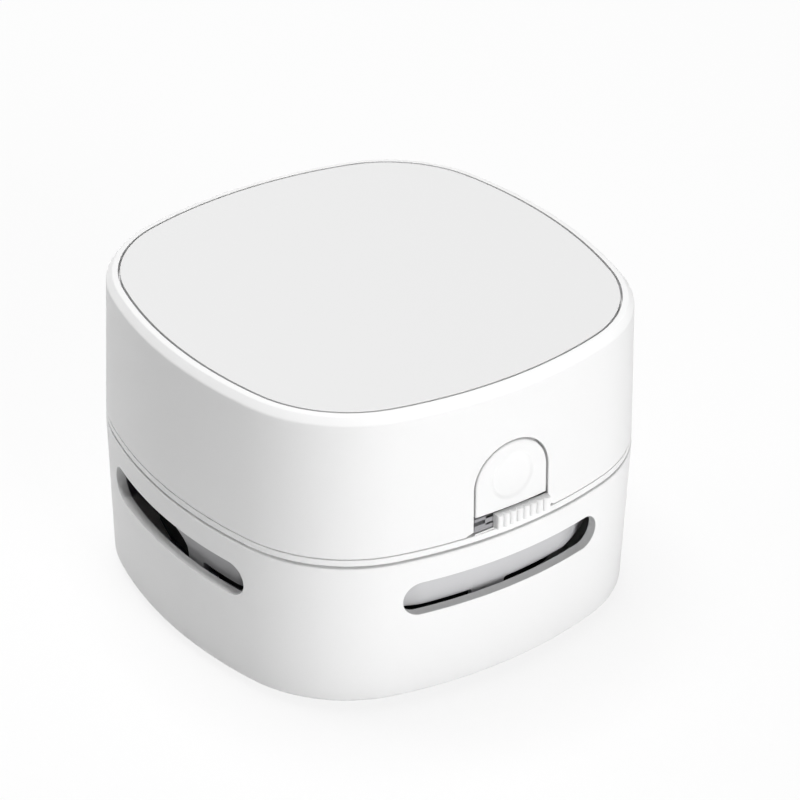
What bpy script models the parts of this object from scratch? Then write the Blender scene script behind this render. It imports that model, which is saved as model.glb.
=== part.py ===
"""A desktop mini vacuum cleaner, built as the separate pieces that it comes apart into.

Metres, +Z up. The origin is on the fan's axis, level with the bristle tips that the cleaner stands on.
The push key and the slide knob face -Y, and the charging socket faces +Y.
"""

import math

import bmesh
import bpy
from mathutils import Matrix, Vector

# Fits that all the pieces share
seat_gap = 0.0003
running_gap = 0.0003
overrun = 0.0020
weld = 0.0005
skim = 0.0001

# Plan of the case: four side arcs and four corner arcs that meet smoothly
half_width = 0.0420
side_arc_radius = 0.0821
corner_radius = 0.0252
side_steps = 4
corner_steps = 6
round_steps = 36
medium_steps = 24
small_steps = 12
tiny_steps = 10
sharp_angle = math.radians(30)
flat_angle = math.radians(0.05)
merge_distance = 0.000002

# Lower shell
bristle_reach = 0.0015
lower_height = 0.0276
lower_wall = 0.00155
lower_foot_inset = 0.00067
lower_lip_bulge = 0.00009
foot_chamfer = 0.0004
foot_rim_width = 0.0016
foot_recess = 0.0015
floor_thickness = 0.0020
cup_clearance = 0.0090
cup_wall = 0.0014
cup_height = 0.0067
slot_length = 0.0404
slot_height = 0.0062
slot_drop = 0.0046
rib_count = 8
rib_width = 0.0010
rib_height = 0.0040

# Intake mouthpiece
throat_radius = 0.0059
funnel_wall = 0.0010
funnel_flange_radius = 0.0105
funnel_flange_height = 0.0010
funnel_rise = 0.0038
funnel_foot_gap = 0.0001

# Bristle strips
strip_count = 4
strip_sweep = math.radians(80)
strip_clearance = 0.0020
strip_width = 0.0070
strip_thickness = 0.0012
strip_stand_out = 0.0003
tufts_across = 4
tufts_along = 19
tuft_root_share = 0.62
tuft_tip_share = 0.34

# Filter and its seal
gasket_height = 0.0009
gasket_inset = 0.00015
filter_flange_height = 0.0009
filter_flange_inset = 0.0001
filter_skirt_depth = 0.0025
filter_skirt_wall = 0.0012
filter_rib_width = 0.0016
filter_rib_height = 0.0007
pleat_count = 15
pleat_height = 0.0023
pleat_paper = 0.0006

# Inlet plate
plate_flange_height = 0.0009
plate_flange_inset = 0.0001
plate_flange_width = 0.0050
plate_thickness = 0.0012
plate_nest = 0.0009
eye_radius = 0.0108
eye_lip_width = 0.0010
eye_lip_height = 0.0012

# Fan housing
bowl_clearance = 0.0045
bowl_wall = 0.0014
shoulder_run = 0.0155
bowl_steps = 4
tab_width = 0.0066
tab_depth = 0.0031
tab_corner = 0.0012
tab_thickness = 0.0011
tab_recess = 0.0003
tab_turn = math.radians(7.1)
tab_pitch = math.radians(80.5)
outlet_half_width_share = 0.325
outlet_height = 0.0029
lug_radius = 0.0032
lug_thickness = 0.0011
lug_drop = 0.0001

# Chassis plate
parting_gap = 0.0005
trim_height = 0.00115
seam_gap = 0.00025
skirt_depth = 0.0022
skirt_wall = 0.0012
motor_cup_wall = 0.0012
motor_cup_height = 0.0127
spring_wall_half_width = 0.0040
spring_wall_thickness = 0.0012
spring_wall_height = 0.0122
gusset_reach_share = 0.66
gusset_width = 0.0012
board_foot_radius = 0.0016
board_foot_height = 0.00085

# Upper shell and its panel
upper_wall = 0.0017
upper_side_height = 0.0251
upper_draft = 0.00075
chamfer_run = 0.00105
chamfer_rise = 0.00124
lip_width = 0.0010
lip_rise = 0.00016
groove_width = 0.0004
panel_thickness = 0.00145
panel_edge = 0.00015
panel_rib_width = 0.0010
panel_rib_depth = 0.0011
ledge_width = 0.0037
ledge_thickness = 0.0014
arch_half_width = 0.0077
arch_spring_height = 0.0083
arch_rise = 0.0076
arch_steps = 14
post_radius = 0.0030
post_web_width = 0.0012
port_margin = 0.0003

# Case screws
screw_inset = 0.0070
screw_shank_radius = 0.0013
screw_length = 0.0110
screw_head_radius = 0.0026
screw_head_height = 0.0016
screw_crown_share = 0.75
screw_cross_share = 0.60
screw_slot_width = 0.0008
screw_slot_depth = 0.0007

# Fan
impeller_clearance = 0.0115
impeller_floor_gap = 0.0004
blade_count = 12
blade_inner_radius = 0.0095
blade_thickness = 0.0008
blade_sweep = math.radians(62)
blade_steps = 5
blade_curve_power = 0.8
rim_steps_per_blade = 3
back_plate_thickness = 0.0012
hub_radius = 0.0042
hub_root_spread = 0.0015
hub_rise = 0.0013
hub_gap = 0.0005
shaft_radius = 0.0010
shaft_depth_in_motor = 0.0060
nut_radius = 0.0030
nut_height = 0.0016
shaft_end = 0.0003

# Motor
motor_radius_share = 0.2905
motor_headroom = 0.0020
motor_boss_radius = 0.0050
motor_boss_height = 0.0025
motor_edge = 0.0008
motor_cap_inset = 0.0006
motor_cap_height = 0.0023
terminal_width = 0.0022
terminal_thickness = 0.0005
terminal_height = 0.0009
terminal_offset = 0.0080
sleeve_thickness = 0.0015
sleeve_height = 0.0112

# Battery
battery_radius_share = 0.1667
battery_length_share = 1.024
battery_height = 0.0132
battery_edge = 0.0006
battery_pole_radius = 0.0030
battery_pole_height = 0.0008
saddle_wall = 0.0012
saddle_width = 0.0030
saddle_offset = 0.0158
saddle_height = 0.0130
rail_width = 0.0020
rail_height = 0.0015
rail_rise = 0.0040

# Circuit board and charging socket
board_rear_inset = 0.0032
board_length_share = 0.495
board_thickness = 0.0012
board_foot_inset = 0.0022
chip_size = 0.0040
chip_height = 0.0009
port_half_width = 0.0045
port_height = 0.0032
port_gap = 0.0011962
port_recess = 0.0005
port_wall = 0.0004
port_back_wall = 0.0025

# On/off switch, its guide and the slide knob
guide_half_width = 0.0074
guide_height = 0.00265
guide_front_inset = 0.0011
guide_thickness = 0.0021
guide_rail_height = 0.0008
guide_channel_depth = 0.0006
knob_width = 0.0110
knob_height = 0.0027
knob_proud = 0.0009
knob_travel = 0.0038
knob_rib_count = 8
knob_rib_depth = 0.0005
knob_groove_share = 0.42
stem_half_width = 0.0009
stem_height = 0.0007
switch_half_width = 0.0046
switch_depth = 0.0040
switch_height = 0.00305
switch_slot_depth = 0.0018
pin_width = 0.0006
pin_length = 0.0016
pin_pitch = 0.0030

# Push key, latch yoke and key spring
key_half_width = 0.0073
key_bottom_rise = 0.0031
key_arch_gap = 0.0004
key_flush_inset = 0.00005
key_depth = 0.0035
key_flange_margin = 0.0016
key_flange_thickness = 0.0012
key_travel = 0.0018
dimple_radius = 0.0041
dimple_depth = 0.0005
dimple_rise = 0.0090
dimple_rings = 4
dimple_steps = 16
yoke_thickness = 0.0012
leg_inner = 0.0085
leg_width = 0.0026
hook_height = 0.0015
hook_reach = 0.0010
hook_below_rim = 0.0019
yoke_bridge_height = 0.0033
yoke_pad_half_width = 0.0050
yoke_pad_height = 0.0060
strike_width = 0.0040
strike_height = 0.0015
strike_drop = 0.0002
spring_length = 0.0100
spring_radius = 0.0020
spring_wire_radius = 0.00025
spring_turns = 4.5
spring_points_per_turn = 9

# Heights and depths that follow from the values above
cup_radius = half_width - cup_clearance
strip_outer_radius = cup_radius - strip_clearance
strip_inner_radius = strip_outer_radius - strip_width
bowl_radius = half_width - bowl_clearance
crown_radius = bowl_radius - shoulder_run
outlet_half_width = outlet_half_width_share * bowl_radius
tab_face = bowl_radius - tab_recess
impeller_radius = bowl_radius - impeller_clearance
motor_radius = motor_radius_share * half_width
battery_radius = battery_radius_share * half_width
battery_length = battery_length_share * half_width
board_rear = half_width - board_rear_inset
board_front = board_rear - board_length_share * half_width
shell_bottom = bristle_reach
lower_top = shell_bottom + lower_height
floor_bottom = shell_bottom + foot_recess
floor_top = floor_bottom + floor_thickness
cup_top = floor_top + cup_height
gasket_bottom = cup_top + seat_gap
gasket_top = gasket_bottom + gasket_height
filter_flange_bottom = gasket_top + seat_gap
filter_top = filter_flange_bottom + filter_flange_height
plate_flange_bottom = filter_top + seat_gap
plate_flange_top = plate_flange_bottom + plate_flange_height
bowl_bottom = plate_flange_top + seat_gap
plate_top = bowl_bottom + plate_nest - seat_gap
eye_lip_top = plate_top + eye_lip_height
deck_bottom = lower_top + parting_gap
deck_top = deck_bottom + trim_height
bowl_top = deck_bottom - seat_gap
upper_bottom = deck_top + seam_gap
side_top = upper_bottom + upper_side_height
chamfer_top = side_top + chamfer_rise
lip_top = chamfer_top + lip_rise
chamfer_inset = upper_draft + chamfer_run
groove_inset = chamfer_inset + lip_width
panel_inset = groove_inset + groove_width
panel_bottom = lip_top - panel_thickness
ledge_top = panel_bottom - seat_gap
ledge_bottom = ledge_top - ledge_thickness
ledge_inset = groove_inset + ledge_width
skirt_inset = lower_wall - lower_lip_bulge + running_gap
screw_bore_radius = screw_shank_radius + running_gap
lug_bottom = bowl_top - lug_drop - lug_thickness
motor_cup_radius = motor_radius + seat_gap + sleeve_thickness + seat_gap
motor_bottom = deck_top + seat_gap
motor_boss_bottom = motor_bottom - motor_boss_height
boss_bore_radius = motor_boss_radius + running_gap
shaft_bore_radius = shaft_radius + running_gap
motor_cap_top = panel_bottom - motor_headroom
motor_top = motor_cap_top - motor_cap_height - seat_gap
blade_bottom = eye_lip_top + impeller_floor_gap
hub_top = bowl_top - bowl_wall - hub_gap
back_plate_top = hub_top - hub_rise
back_plate_bottom = back_plate_top - back_plate_thickness
nut_top = blade_bottom - seat_gap
nut_bottom = nut_top - nut_height
knob_bottom = deck_top + running_gap
guide_bottom = deck_top + seat_gap
guide_top = guide_bottom + guide_height
guide_front = -half_width + guide_front_inset
guide_back = guide_front + guide_thickness
knob_back = guide_front - running_gap
stem_bottom = guide_bottom + guide_rail_height
stem_gap = running_gap / 2
knob_right = guide_half_width
knob_centre = knob_right - knob_width / 2
switch_front = guide_back + seat_gap
switch_top = guide_bottom + switch_height
key_bottom = upper_bottom + key_bottom_rise
key_spring_height = upper_bottom + arch_spring_height
key_flange_front = -half_width + key_depth - key_flange_thickness / 2
key_flange_back = key_flange_front + key_flange_thickness
yoke_front = key_flange_back + seat_gap
yoke_back = yoke_front + yoke_thickness
hook_top = lower_top - hook_below_rim
hook_bottom = hook_top - hook_height
hook_tip = yoke_front - hook_reach
strike_face = hook_tip - running_gap
dimple_height = upper_bottom + dimple_rise
spring_wall_front = yoke_back + spring_length + 2 * seat_gap
battery_offset = motor_cup_radius + motor_cup_wall + saddle_wall + battery_radius + 2 * running_gap
battery_centre_height = deck_top + battery_height
board_half_width = saddle_offset - saddle_width - running_gap
board_bottom = deck_top + board_foot_height + seat_gap
board_top = board_bottom + board_thickness
port_bottom = board_top + seat_gap
port_rear = half_width - port_recess
port_front = battery_offset + battery_radius + running_gap + saddle_wall + port_gap


def shade(mesh, material):
    """Gives a mesh its material, and smooth shading that stays crisp at its edges."""
    mesh.materials.clear()
    mesh.materials.append(material)
    mesh.shade_smooth()
    mesh.set_sharp_from_angle(angle=sharp_angle)


def make_material(name, colour, roughness, metallic=0.0):
    material = bpy.data.materials.new(name)
    material.use_nodes = True
    shader = material.node_tree.nodes["Principled BSDF"]
    shader.inputs["Base Color"].default_value = (*colour, 1.0)
    shader.inputs["Roughness"].default_value = roughness
    shader.inputs["Metallic"].default_value = metallic
    return material


def add_object(name, bm):
    """Turns a bmesh into an object whose faces point outwards."""
    bmesh.ops.recalc_face_normals(bm, faces=bm.faces)
    mesh = bpy.data.meshes.new(name)
    bm.to_mesh(mesh)
    bm.free()
    thing = bpy.data.objects.new(name, mesh)
    bpy.context.scene.collection.objects.link(thing)
    return thing


def loft(name, rings, closed=True):
    """Joins rings of points into one skin: round into itself when closed, and capped at both ends when not."""
    bm = bmesh.new()
    loops = [[bm.verts.new(point) for point in ring] for ring in rings]
    pairs = list(zip(loops, loops[1:]))
    if closed:
        pairs.append((loops[-1], loops[0]))
    for below, above in pairs:
        count = len(below)
        for i in range(count):
            j = (i + 1) % count
            bm.faces.new((below[i], below[j], above[j], above[i]))
    if not closed:
        bm.faces.new(loops[0])
        bm.faces.new(loops[-1])
    return add_object(name, bm)


def plan_arcs(inset):
    """The two arc radii of the plan drawn in by an inset, their centres, and the angle at which they meet."""
    side_centre = half_width - side_arc_radius
    step = side_arc_radius - corner_radius
    # both centres and the meeting point lie on one line, which puts the corner's centre on the diagonal here
    corner_centre = (side_centre + math.sqrt(2 * step**2 - side_centre**2)) / 2
    joint = math.atan2(corner_centre, corner_centre - side_centre)
    return side_arc_radius - inset, corner_radius - inset, side_centre, corner_centre, joint


def plan(inset):
    """The case's outline, drawn in by an inset, anticlockwise from the right-hand side."""
    side, corner, side_centre, corner_centre, joint = plan_arcs(inset)
    points = []
    for quarter in range(4):
        turn = Matrix.Rotation(quarter * math.pi / 2, 2)
        for i in range(side_steps):
            angle = joint * (2 * i / side_steps - 1)
            points.append(turn @ Vector((side_centre + side * math.cos(angle), side * math.sin(angle))))
        for i in range(corner_steps):
            angle = joint + (math.pi / 2 - 2 * joint) * i / corner_steps
            points.append(turn @ (Vector((corner_centre, corner_centre))
                                  + corner * Vector((math.cos(angle), math.sin(angle)))))
    return points


def case_ring(inset, z):
    return [(x, y, z) for x, y in plan(inset)]


def circle_in_case(radius, z):
    """A circle whose points lie in the same directions as the outline's, so that the two can be joined."""
    return [(*(radius * point.normalized()), z) for point in plan(0)]


def circle(radius, steps):
    return [(radius * math.cos(2 * math.pi * i / steps), radius * math.sin(2 * math.pi * i / steps))
            for i in range(steps)]


def turned(name, profile, steps=round_steps, closed=True):
    """Turns a profile of (radius, height) points about the fan's axis."""
    return loft(name, [[(x, y, z) for x, y in circle(radius, steps)] for radius, z in profile], closed)


def prism(name, outline, axis, low, high):
    """Extrudes an outline along an axis. Its points are (y, z), (x, z) or (x, y) for the axes X, Y and Z."""
    place = {"X": lambda u, v, w: (w, u, v), "Y": lambda u, v, w: (u, w, v), "Z": lambda u, v, w: (u, v, w)}[axis]
    return loft(name, [[place(u, v, w) for u, v in outline] for w in (low, high)], closed=False)


def box(name, x, y, z):
    """A box between pairs of x, y and z."""
    corners = [(x[0], y[0]), (x[1], y[0]), (x[1], y[1]), (x[0], y[1])]
    return prism(name, corners, "Z", z[0], z[1])


def stadium(half_length, radius, centre=(0, 0), steps=tiny_steps):
    """A bar with round ends, half_length from its centre to each end's outermost point."""
    reach = half_length - radius
    right = [(centre[0] + reach + radius * math.sin(math.pi * i / steps),
              centre[1] - radius * math.cos(math.pi * i / steps)) for i in range(steps + 1)]
    left = [(2 * centre[0] - u, 2 * centre[1] - v) for u, v in right]
    return right + left


def arch(half_width_here, bottom, spring, rise):
    """An arch: straight sides up to the spring line, and half an ellipse over it."""
    angles = [math.pi * i / arch_steps for i in range(arch_steps + 1)]
    crown = [(half_width_here * math.cos(angle), spring + rise * math.sin(angle)) for angle in angles]
    return [(-half_width_here, bottom), (half_width_here, bottom)] + crown


def combine(target, tool, operation):
    """Applies a Boolean of a tool to a target, and removes the tool."""
    modifier = target.modifiers.new(operation.lower(), "BOOLEAN")
    modifier.operation = operation
    modifier.solver = "EXACT"
    modifier.object = tool
    graph = bpy.context.evaluated_depsgraph_get()
    old = target.data
    target.data = bpy.data.meshes.new_from_object(target.evaluated_get(graph))
    target.modifiers.clear()
    bpy.data.meshes.remove(old)
    bpy.data.objects.remove(tool)
    return target


def cut(target, *tools):
    for tool in tools:
        combine(target, tool, "DIFFERENCE")
    return target


def join(target, *tools):
    for tool in tools:
        combine(target, tool, "UNION")
    return target


def turned_copy(thing, angle):
    """Turns an object's mesh about the fan's axis."""
    thing.data.transform(Matrix.Rotation(angle, 4, "Z"))
    return thing


def finish(thing, material, name=None):
    """Cleans a finished mesh: merges doubles, and fuses the flat faces that cuts have split."""
    bm = bmesh.new()
    bm.from_mesh(thing.data)
    bmesh.ops.remove_doubles(bm, verts=bm.verts, dist=merge_distance)
    bmesh.ops.dissolve_limit(bm, angle_limit=flat_angle, verts=bm.verts, edges=bm.edges)
    bm.to_mesh(thing.data)
    bm.free()
    shade(thing.data, material)
    thing.name = name or thing.name
    return thing


def set_origin(thing, origin):
    """Moves an object's origin onto its joint's axis and leaves its mesh where it is."""
    thing.data.transform(Matrix.Translation(-Vector(origin)))
    thing.location = origin
    return thing


def lower_side_inset(z):
    """How far the lower shell's outer side is drawn in at a height: a straight draft from foot to rim."""
    share = (z - shell_bottom) / lower_height
    return lower_foot_inset + share * (-lower_lip_bulge - lower_foot_inset)


def outline_reach(angle, inset):
    """Distance from the fan's axis to the outline, drawn in by an inset, in one direction."""
    side, corner, side_centre, corner_centre, joint = plan_arcs(inset)
    folded = abs((angle + math.pi / 4) % (math.pi / 2) - math.pi / 4)
    along = side_centre * math.cos(folded)
    reach = along + math.sqrt(side**2 - (side_centre * math.sin(folded))**2)
    if reach * math.sin(folded) <= side * math.sin(joint):
        return reach
    middle = Vector((corner_centre, corner_centre))
    towards = Vector((math.cos(folded), math.sin(folded)))
    along = middle.dot(towards)
    return along + math.sqrt(corner**2 - middle.length_squared + along**2)


def make_lower_shell(material):
    """The dust box: a drafted wall round a floor, with a round cup on the floor and a slot in each side."""
    foot = lower_foot_inset
    inner_top = lower_wall - lower_lip_bulge
    inner_floor = lower_side_inset(floor_top) + lower_wall
    channel_top = floor_bottom - strip_stand_out + strip_thickness + seat_gap
    rim_inner = foot + foot_chamfer + foot_rim_width
    rings = [
        case_ring(foot + foot_chamfer, shell_bottom),
        case_ring(foot, shell_bottom + foot_chamfer),
        case_ring(-lower_lip_bulge, lower_top),
        case_ring(inner_top, lower_top),
        case_ring(inner_floor, floor_top),
        circle_in_case(cup_radius + cup_wall, floor_top),
        circle_in_case(cup_radius + cup_wall, cup_top),
        circle_in_case(cup_radius, cup_top),
        circle_in_case(cup_radius, floor_top),
        circle_in_case(throat_radius + funnel_wall + seat_gap, floor_top),
        circle_in_case(throat_radius + funnel_wall + seat_gap, floor_bottom),
        circle_in_case(strip_inner_radius - seat_gap, floor_bottom),
        circle_in_case(strip_inner_radius - seat_gap, channel_top),
        circle_in_case(strip_outer_radius + seat_gap, channel_top),
        circle_in_case(strip_outer_radius + seat_gap, floor_bottom),
        case_ring(rim_inner, floor_bottom),
        case_ring(rim_inner, shell_bottom),
    ]
    shell = loft("lower_shell", rings)
    slot = stadium(slot_length / 2, slot_height / 2, (0, lower_top - slot_drop - slot_height / 2))
    far = half_width + overrun
    for k in range(rib_count):
        angle = (k + 0.5) * 2 * math.pi / rib_count
        reach = outline_reach(angle, inner_floor - lower_wall / 2)
        rib = box("rib", (cup_radius + cup_wall / 2, reach), (-rib_width / 2, rib_width / 2),
                  (floor_top - weld, floor_top + rib_height))
        join(shell, turned_copy(rib, angle))
    leg_centre = leg_inner + leg_width / 2
    for side in (-1, 1):
        x = side * leg_centre
        strike = box("strike", (x - strike_width / 2, x + strike_width / 2),
                     (strike_face - hook_reach - lower_wall, strike_face),
                     (lower_top - strike_drop - strike_height, lower_top - strike_drop))
        join(shell, strike)
    cut(shell, prism("slots_through", slot, "Y", -far, far), prism("slots_across", slot, "X", -far, far))
    return finish(shell, material)


def make_intake_funnel(material):
    """The mouthpiece: a tube through the floor with a flange on it, open at both ends."""
    outer = throat_radius + funnel_wall
    flange_bottom = floor_top + seat_gap
    flange_top = flange_bottom + funnel_flange_height
    profile = [
        (outer, floor_bottom + funnel_foot_gap),
        (outer, flange_bottom),
        (funnel_flange_radius, flange_bottom),
        (funnel_flange_radius, flange_top - funnel_wall / 2),
        (funnel_flange_radius - funnel_wall / 2, flange_top),
        (outer + funnel_wall, flange_top),
        (outer, floor_top + funnel_rise),
        (throat_radius, floor_top + funnel_rise),
        (throat_radius, floor_bottom + funnel_foot_gap),
    ]
    return finish(turned("intake_funnel", profile, medium_steps), material)


def make_cup_gasket(material):
    profile = [
        (cup_radius + gasket_inset, gasket_bottom),
        (cup_radius + cup_wall - gasket_inset, gasket_bottom),
        (cup_radius + cup_wall - gasket_inset, gasket_top),
        (cup_radius + gasket_inset, gasket_top),
    ]
    return finish(turned("cup_gasket", profile), material)


def make_brush_strip(number, material):
    """An arc of backing with its tufts: each cell of the underside is drawn in and pulled down to the table."""
    top = floor_bottom - strip_stand_out + strip_thickness
    bottom = floor_bottom - strip_stand_out
    middle = (number - 0.5) * 2 * math.pi / strip_count
    bm = bmesh.new()

    def place(across_share, along_share, z):
        radius = strip_inner_radius + across_share * (strip_outer_radius - strip_inner_radius)
        angle = middle + (along_share - 0.5) * strip_sweep
        return radius * math.cos(angle), radius * math.sin(angle), z

    def grid(z):
        return [[bm.verts.new(place(i / tufts_across, j / tufts_along, z)) for j in range(tufts_along + 1)]
                for i in range(tufts_across + 1)]

    under = grid(bottom)
    for i in range(tufts_across):
        for j in range(tufts_along):
            cell = [under[i][j], under[i][j + 1], under[i + 1][j + 1], under[i + 1][j]]
            rims = []
            for share, z in ((tuft_root_share, bottom), (tuft_tip_share, 0)):
                corners = [(i + 0.5 + share * a / 2, j + 0.5 + share * b / 2)
                           for a, b in ((-1, -1), (-1, 1), (1, 1), (1, -1))]
                rims.append([bm.verts.new(place(u / tufts_across, v / tufts_along, z)) for u, v in corners])
            for outer, inner in ((cell, rims[0]), (rims[0], rims[1])):
                for k in range(4):
                    n = (k + 1) % 4
                    bm.faces.new((outer[k], outer[n], inner[n], inner[k]))
            bm.faces.new(rims[1])
    edge = under[0][:] + [under[i][-1] for i in range(1, tufts_across + 1)]
    edge += under[-1][-2::-1] + [under[i][0] for i in range(tufts_across - 1, 0, -1)]
    upper = [bm.verts.new((point.co.x, point.co.y, top)) for point in edge]
    for k in range(len(edge)):
        n = (k + 1) % len(edge)
        bm.faces.new((edge[k], edge[n], upper[n], upper[k]))
    bm.faces.new(upper)
    strip = add_object(f"brush_strip_{number}", bm)
    shade(strip.data, material)
    return strip


def make_filter_frame(material):
    """A flanged ring with two crossed ribs, which hangs in the cup's mouth."""
    skirt_outer = cup_radius - running_gap
    skirt_inner = skirt_outer - filter_skirt_wall
    skirt_bottom = filter_flange_bottom - filter_skirt_depth
    profile = [
        (skirt_outer, skirt_bottom),
        (skirt_outer, filter_flange_bottom),
        (cup_radius + cup_wall - filter_flange_inset, filter_flange_bottom),
        (cup_radius + cup_wall - filter_flange_inset, filter_top),
        (skirt_inner, filter_top),
        (skirt_inner, skirt_bottom),
    ]
    frame = turned("filter_frame", profile)
    reach = skirt_inner + weld
    rib = (-filter_rib_width / 2, filter_rib_width / 2)
    height = (skirt_bottom + skim, skirt_bottom + filter_rib_height)
    cross = box("rib", (-reach, reach), rib, height)
    join(cross, box("rib", rib, (-reach, reach), height))
    return finish(join(frame, cross), material)


def make_filter_element(material):
    """Pleated paper: a zigzag sheet, cut round to drop into the frame."""
    radius = cup_radius - running_gap - filter_skirt_wall - seat_gap
    bottom = filter_flange_bottom - filter_skirt_depth + filter_rib_height + seat_gap
    pitch = 2 * (radius + overrun) / pleat_count
    start = -radius - overrun
    lower = []
    for k in range(pleat_count):
        lower += [(start + k * pitch, bottom), (start + (k + 0.5) * pitch, bottom + pleat_height - pleat_paper)]
    lower.append((start + pleat_count * pitch, bottom))
    upper = [(u, v + pleat_paper) for u, v in reversed(lower)]
    sheet = prism("filter_element", lower + upper, "Y", start, -start)
    disc = turned("disc", [(radius, bottom - overrun), (radius, bottom + pleat_height + overrun)], closed=False)
    return finish(combine(sheet, disc, "INTERSECT"), material)


def make_inlet_plate(material):
    """The plate under the fan: a disc nested in the bowl, with the fan's eye and four notches for the tabs."""
    rim = bowl_radius - plate_flange_inset
    nest = bowl_radius - bowl_wall - running_gap
    profile = [
        (rim, plate_flange_bottom),
        (rim, plate_flange_top),
        (nest, plate_flange_top),
        (nest, plate_top),
        (eye_radius + eye_lip_width, plate_top),
        (eye_radius + eye_lip_width, eye_lip_top),
        (eye_radius, eye_lip_top),
        (eye_radius, plate_top - plate_thickness),
        (rim - plate_flange_width, plate_top - plate_thickness),
        (rim - plate_flange_width, plate_flange_bottom),
    ]
    plate = turned("inlet_plate", profile)
    notch = tab_width / 2 + running_gap
    for turn in tab_turns():
        tool = box("notch", (tab_face - tab_thickness - running_gap, bowl_radius + overrun), (-notch, notch),
                   (plate_flange_bottom - overrun, plate_flange_top + skim))
        cut(plate, turned_copy(tool, turn))
    return finish(plate, material)


def tab_turns():
    """The snap tabs' places round the bowl, unevenly spaced so that the plate fits in one way round."""
    return [tab_turn, tab_turn + tab_pitch, tab_turn + math.pi, tab_turn + tab_pitch + math.pi]


def make_fan_housing(material):
    """The bowl over the fan: an elliptical shoulder, two arched outlets, four snap tabs and four screw lugs."""
    rise = bowl_top - bowl_bottom
    run = shoulder_run
    angles = [math.pi / 2 * k / bowl_steps for k in range(bowl_steps + 1)]
    outer = [(crown_radius + run * math.cos(a), bowl_bottom + rise * math.sin(a)) for a in angles]
    inner = [(crown_radius + (run - bowl_wall) * math.cos(a), bowl_bottom + (rise - bowl_wall) * math.sin(a))
             for a in reversed(angles)]
    hole = [(boss_bore_radius, bowl_top), (boss_bore_radius, bowl_top - bowl_wall)]
    bowl = turned("fan_housing", outer + hole + inner)
    bar = stadium(screw_reach() + lug_radius, lug_radius)
    for turn in (1, 3):
        lugs = prism("lugs", bar, "Z", lug_bottom, lug_bottom + lug_thickness)
        join(bowl, turned_copy(lugs, turn * math.pi / 4))
    cut(bowl, turned("bore", [(boss_bore_radius, lug_bottom - overrun), (boss_bore_radius, bowl_top + overrun)],
                     closed=False))
    cut(bowl, *screw_bores(lug_bottom - overrun, bowl_top + overrun))
    tab_bottom = bowl_bottom - tab_depth
    tab_side = tab_width / 2
    tab = [(-tab_side, bowl_bottom + bowl_wall), (-tab_side, tab_bottom + tab_corner),
           (-tab_side + tab_corner, tab_bottom), (tab_side - tab_corner, tab_bottom),
           (tab_side, tab_bottom + tab_corner), (tab_side, bowl_bottom + bowl_wall)]
    for turn in tab_turns():
        join(bowl, turned_copy(prism("tab", tab, "X", tab_face - tab_thickness, tab_face), turn))
    window = [(u - outlet_half_width, v) for u, v in
              arch(outlet_half_width, bowl_bottom - overrun, bowl_bottom, outlet_height)]
    for turn in (0, math.pi):
        outlet = prism("outlet", window, "X", crown_radius, bowl_radius + overrun)
        cut(bowl, turned_copy(outlet, turn))
    return finish(bowl, material)


def screw_reach():
    """How far the case screws stand from the fan's axis, on the diagonals."""
    return outline_reach(math.pi / 4, screw_inset)


def screw_places():
    offset = screw_reach() / math.sqrt(2)
    return [(a * offset, b * offset) for a, b in ((1, 1), (-1, 1), (-1, -1), (1, -1))]


def screw_bores(low, high):
    """Four tools for the case screws' holes."""
    bores = []
    for x, y in screw_places():
        outline = [(x + u, y + v) for u, v in circle(screw_bore_radius, small_steps)]
        bores.append(prism("bore", outline, "Z", low, high))
    return bores


def make_chassis_plate(material):
    """The deck: a plate whose edge is the trim line, with a skirt below it and the motor's cup above."""
    skirt_bottom = deck_bottom - skirt_depth - parting_gap
    cup_outer = motor_cup_radius + motor_cup_wall
    rings = [
        case_ring(0, deck_bottom),
        case_ring(0, deck_top),
        circle_in_case(cup_outer, deck_top),
        circle_in_case(cup_outer, deck_top + motor_cup_height),
        circle_in_case(motor_cup_radius, deck_top + motor_cup_height),
        circle_in_case(motor_cup_radius, deck_top),
        circle_in_case(boss_bore_radius, deck_top),
        circle_in_case(boss_bore_radius, deck_bottom),
        case_ring(skirt_inset + skirt_wall, deck_bottom),
        case_ring(skirt_inset + skirt_wall, skirt_bottom),
        case_ring(skirt_inset, skirt_bottom),
        case_ring(skirt_inset, deck_bottom),
    ]
    deck = loft("chassis_plate", rings)
    wall_back = spring_wall_front + spring_wall_thickness
    wall_top = deck_top + spring_wall_height
    side = spring_wall_half_width
    join(deck, box("wall", (-side, side), (spring_wall_front, wall_back), (deck_top - weld, wall_top)))
    gusset_reach = gusset_reach_share * (-wall_back - cup_outer)
    gusset = [(wall_back - weld, deck_top - weld), (wall_back + gusset_reach, deck_top - weld),
              (wall_back - weld, wall_top - gusset_width)]
    join(deck, prism("gusset", gusset, "X", -gusset_width / 2, gusset_width / 2))
    for x, y in board_feet():
        foot = [(x + u, y + v) for u, v in circle(board_foot_radius, tiny_steps)]
        join(deck, prism("foot", foot, "Z", deck_top - weld, deck_top + board_foot_height))
    leg_low = leg_inner - running_gap
    leg_high = leg_inner + leg_width + running_gap
    front = hook_tip - running_gap
    back = yoke_back + key_travel + running_gap
    for x in ((leg_low, leg_high), (-leg_high, -leg_low)):
        cut(deck, box("leg_slot", x, (front, back), (deck_bottom - overrun, deck_top + overrun)))
    gap = leg_high + strike_width / 2
    cut(deck, box("latch_gap", (-gap, gap), (-half_width - overrun, back), (skirt_bottom - overrun, deck_bottom)))
    cut(deck, *screw_bores(deck_bottom - overrun, deck_top + overrun))
    return finish(deck, material)


def board_feet():
    x = board_half_width - board_foot_inset
    return [(a * x, y) for a in (-1, 1) for y in (board_front + board_foot_inset, board_rear - board_foot_inset)]


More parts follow.
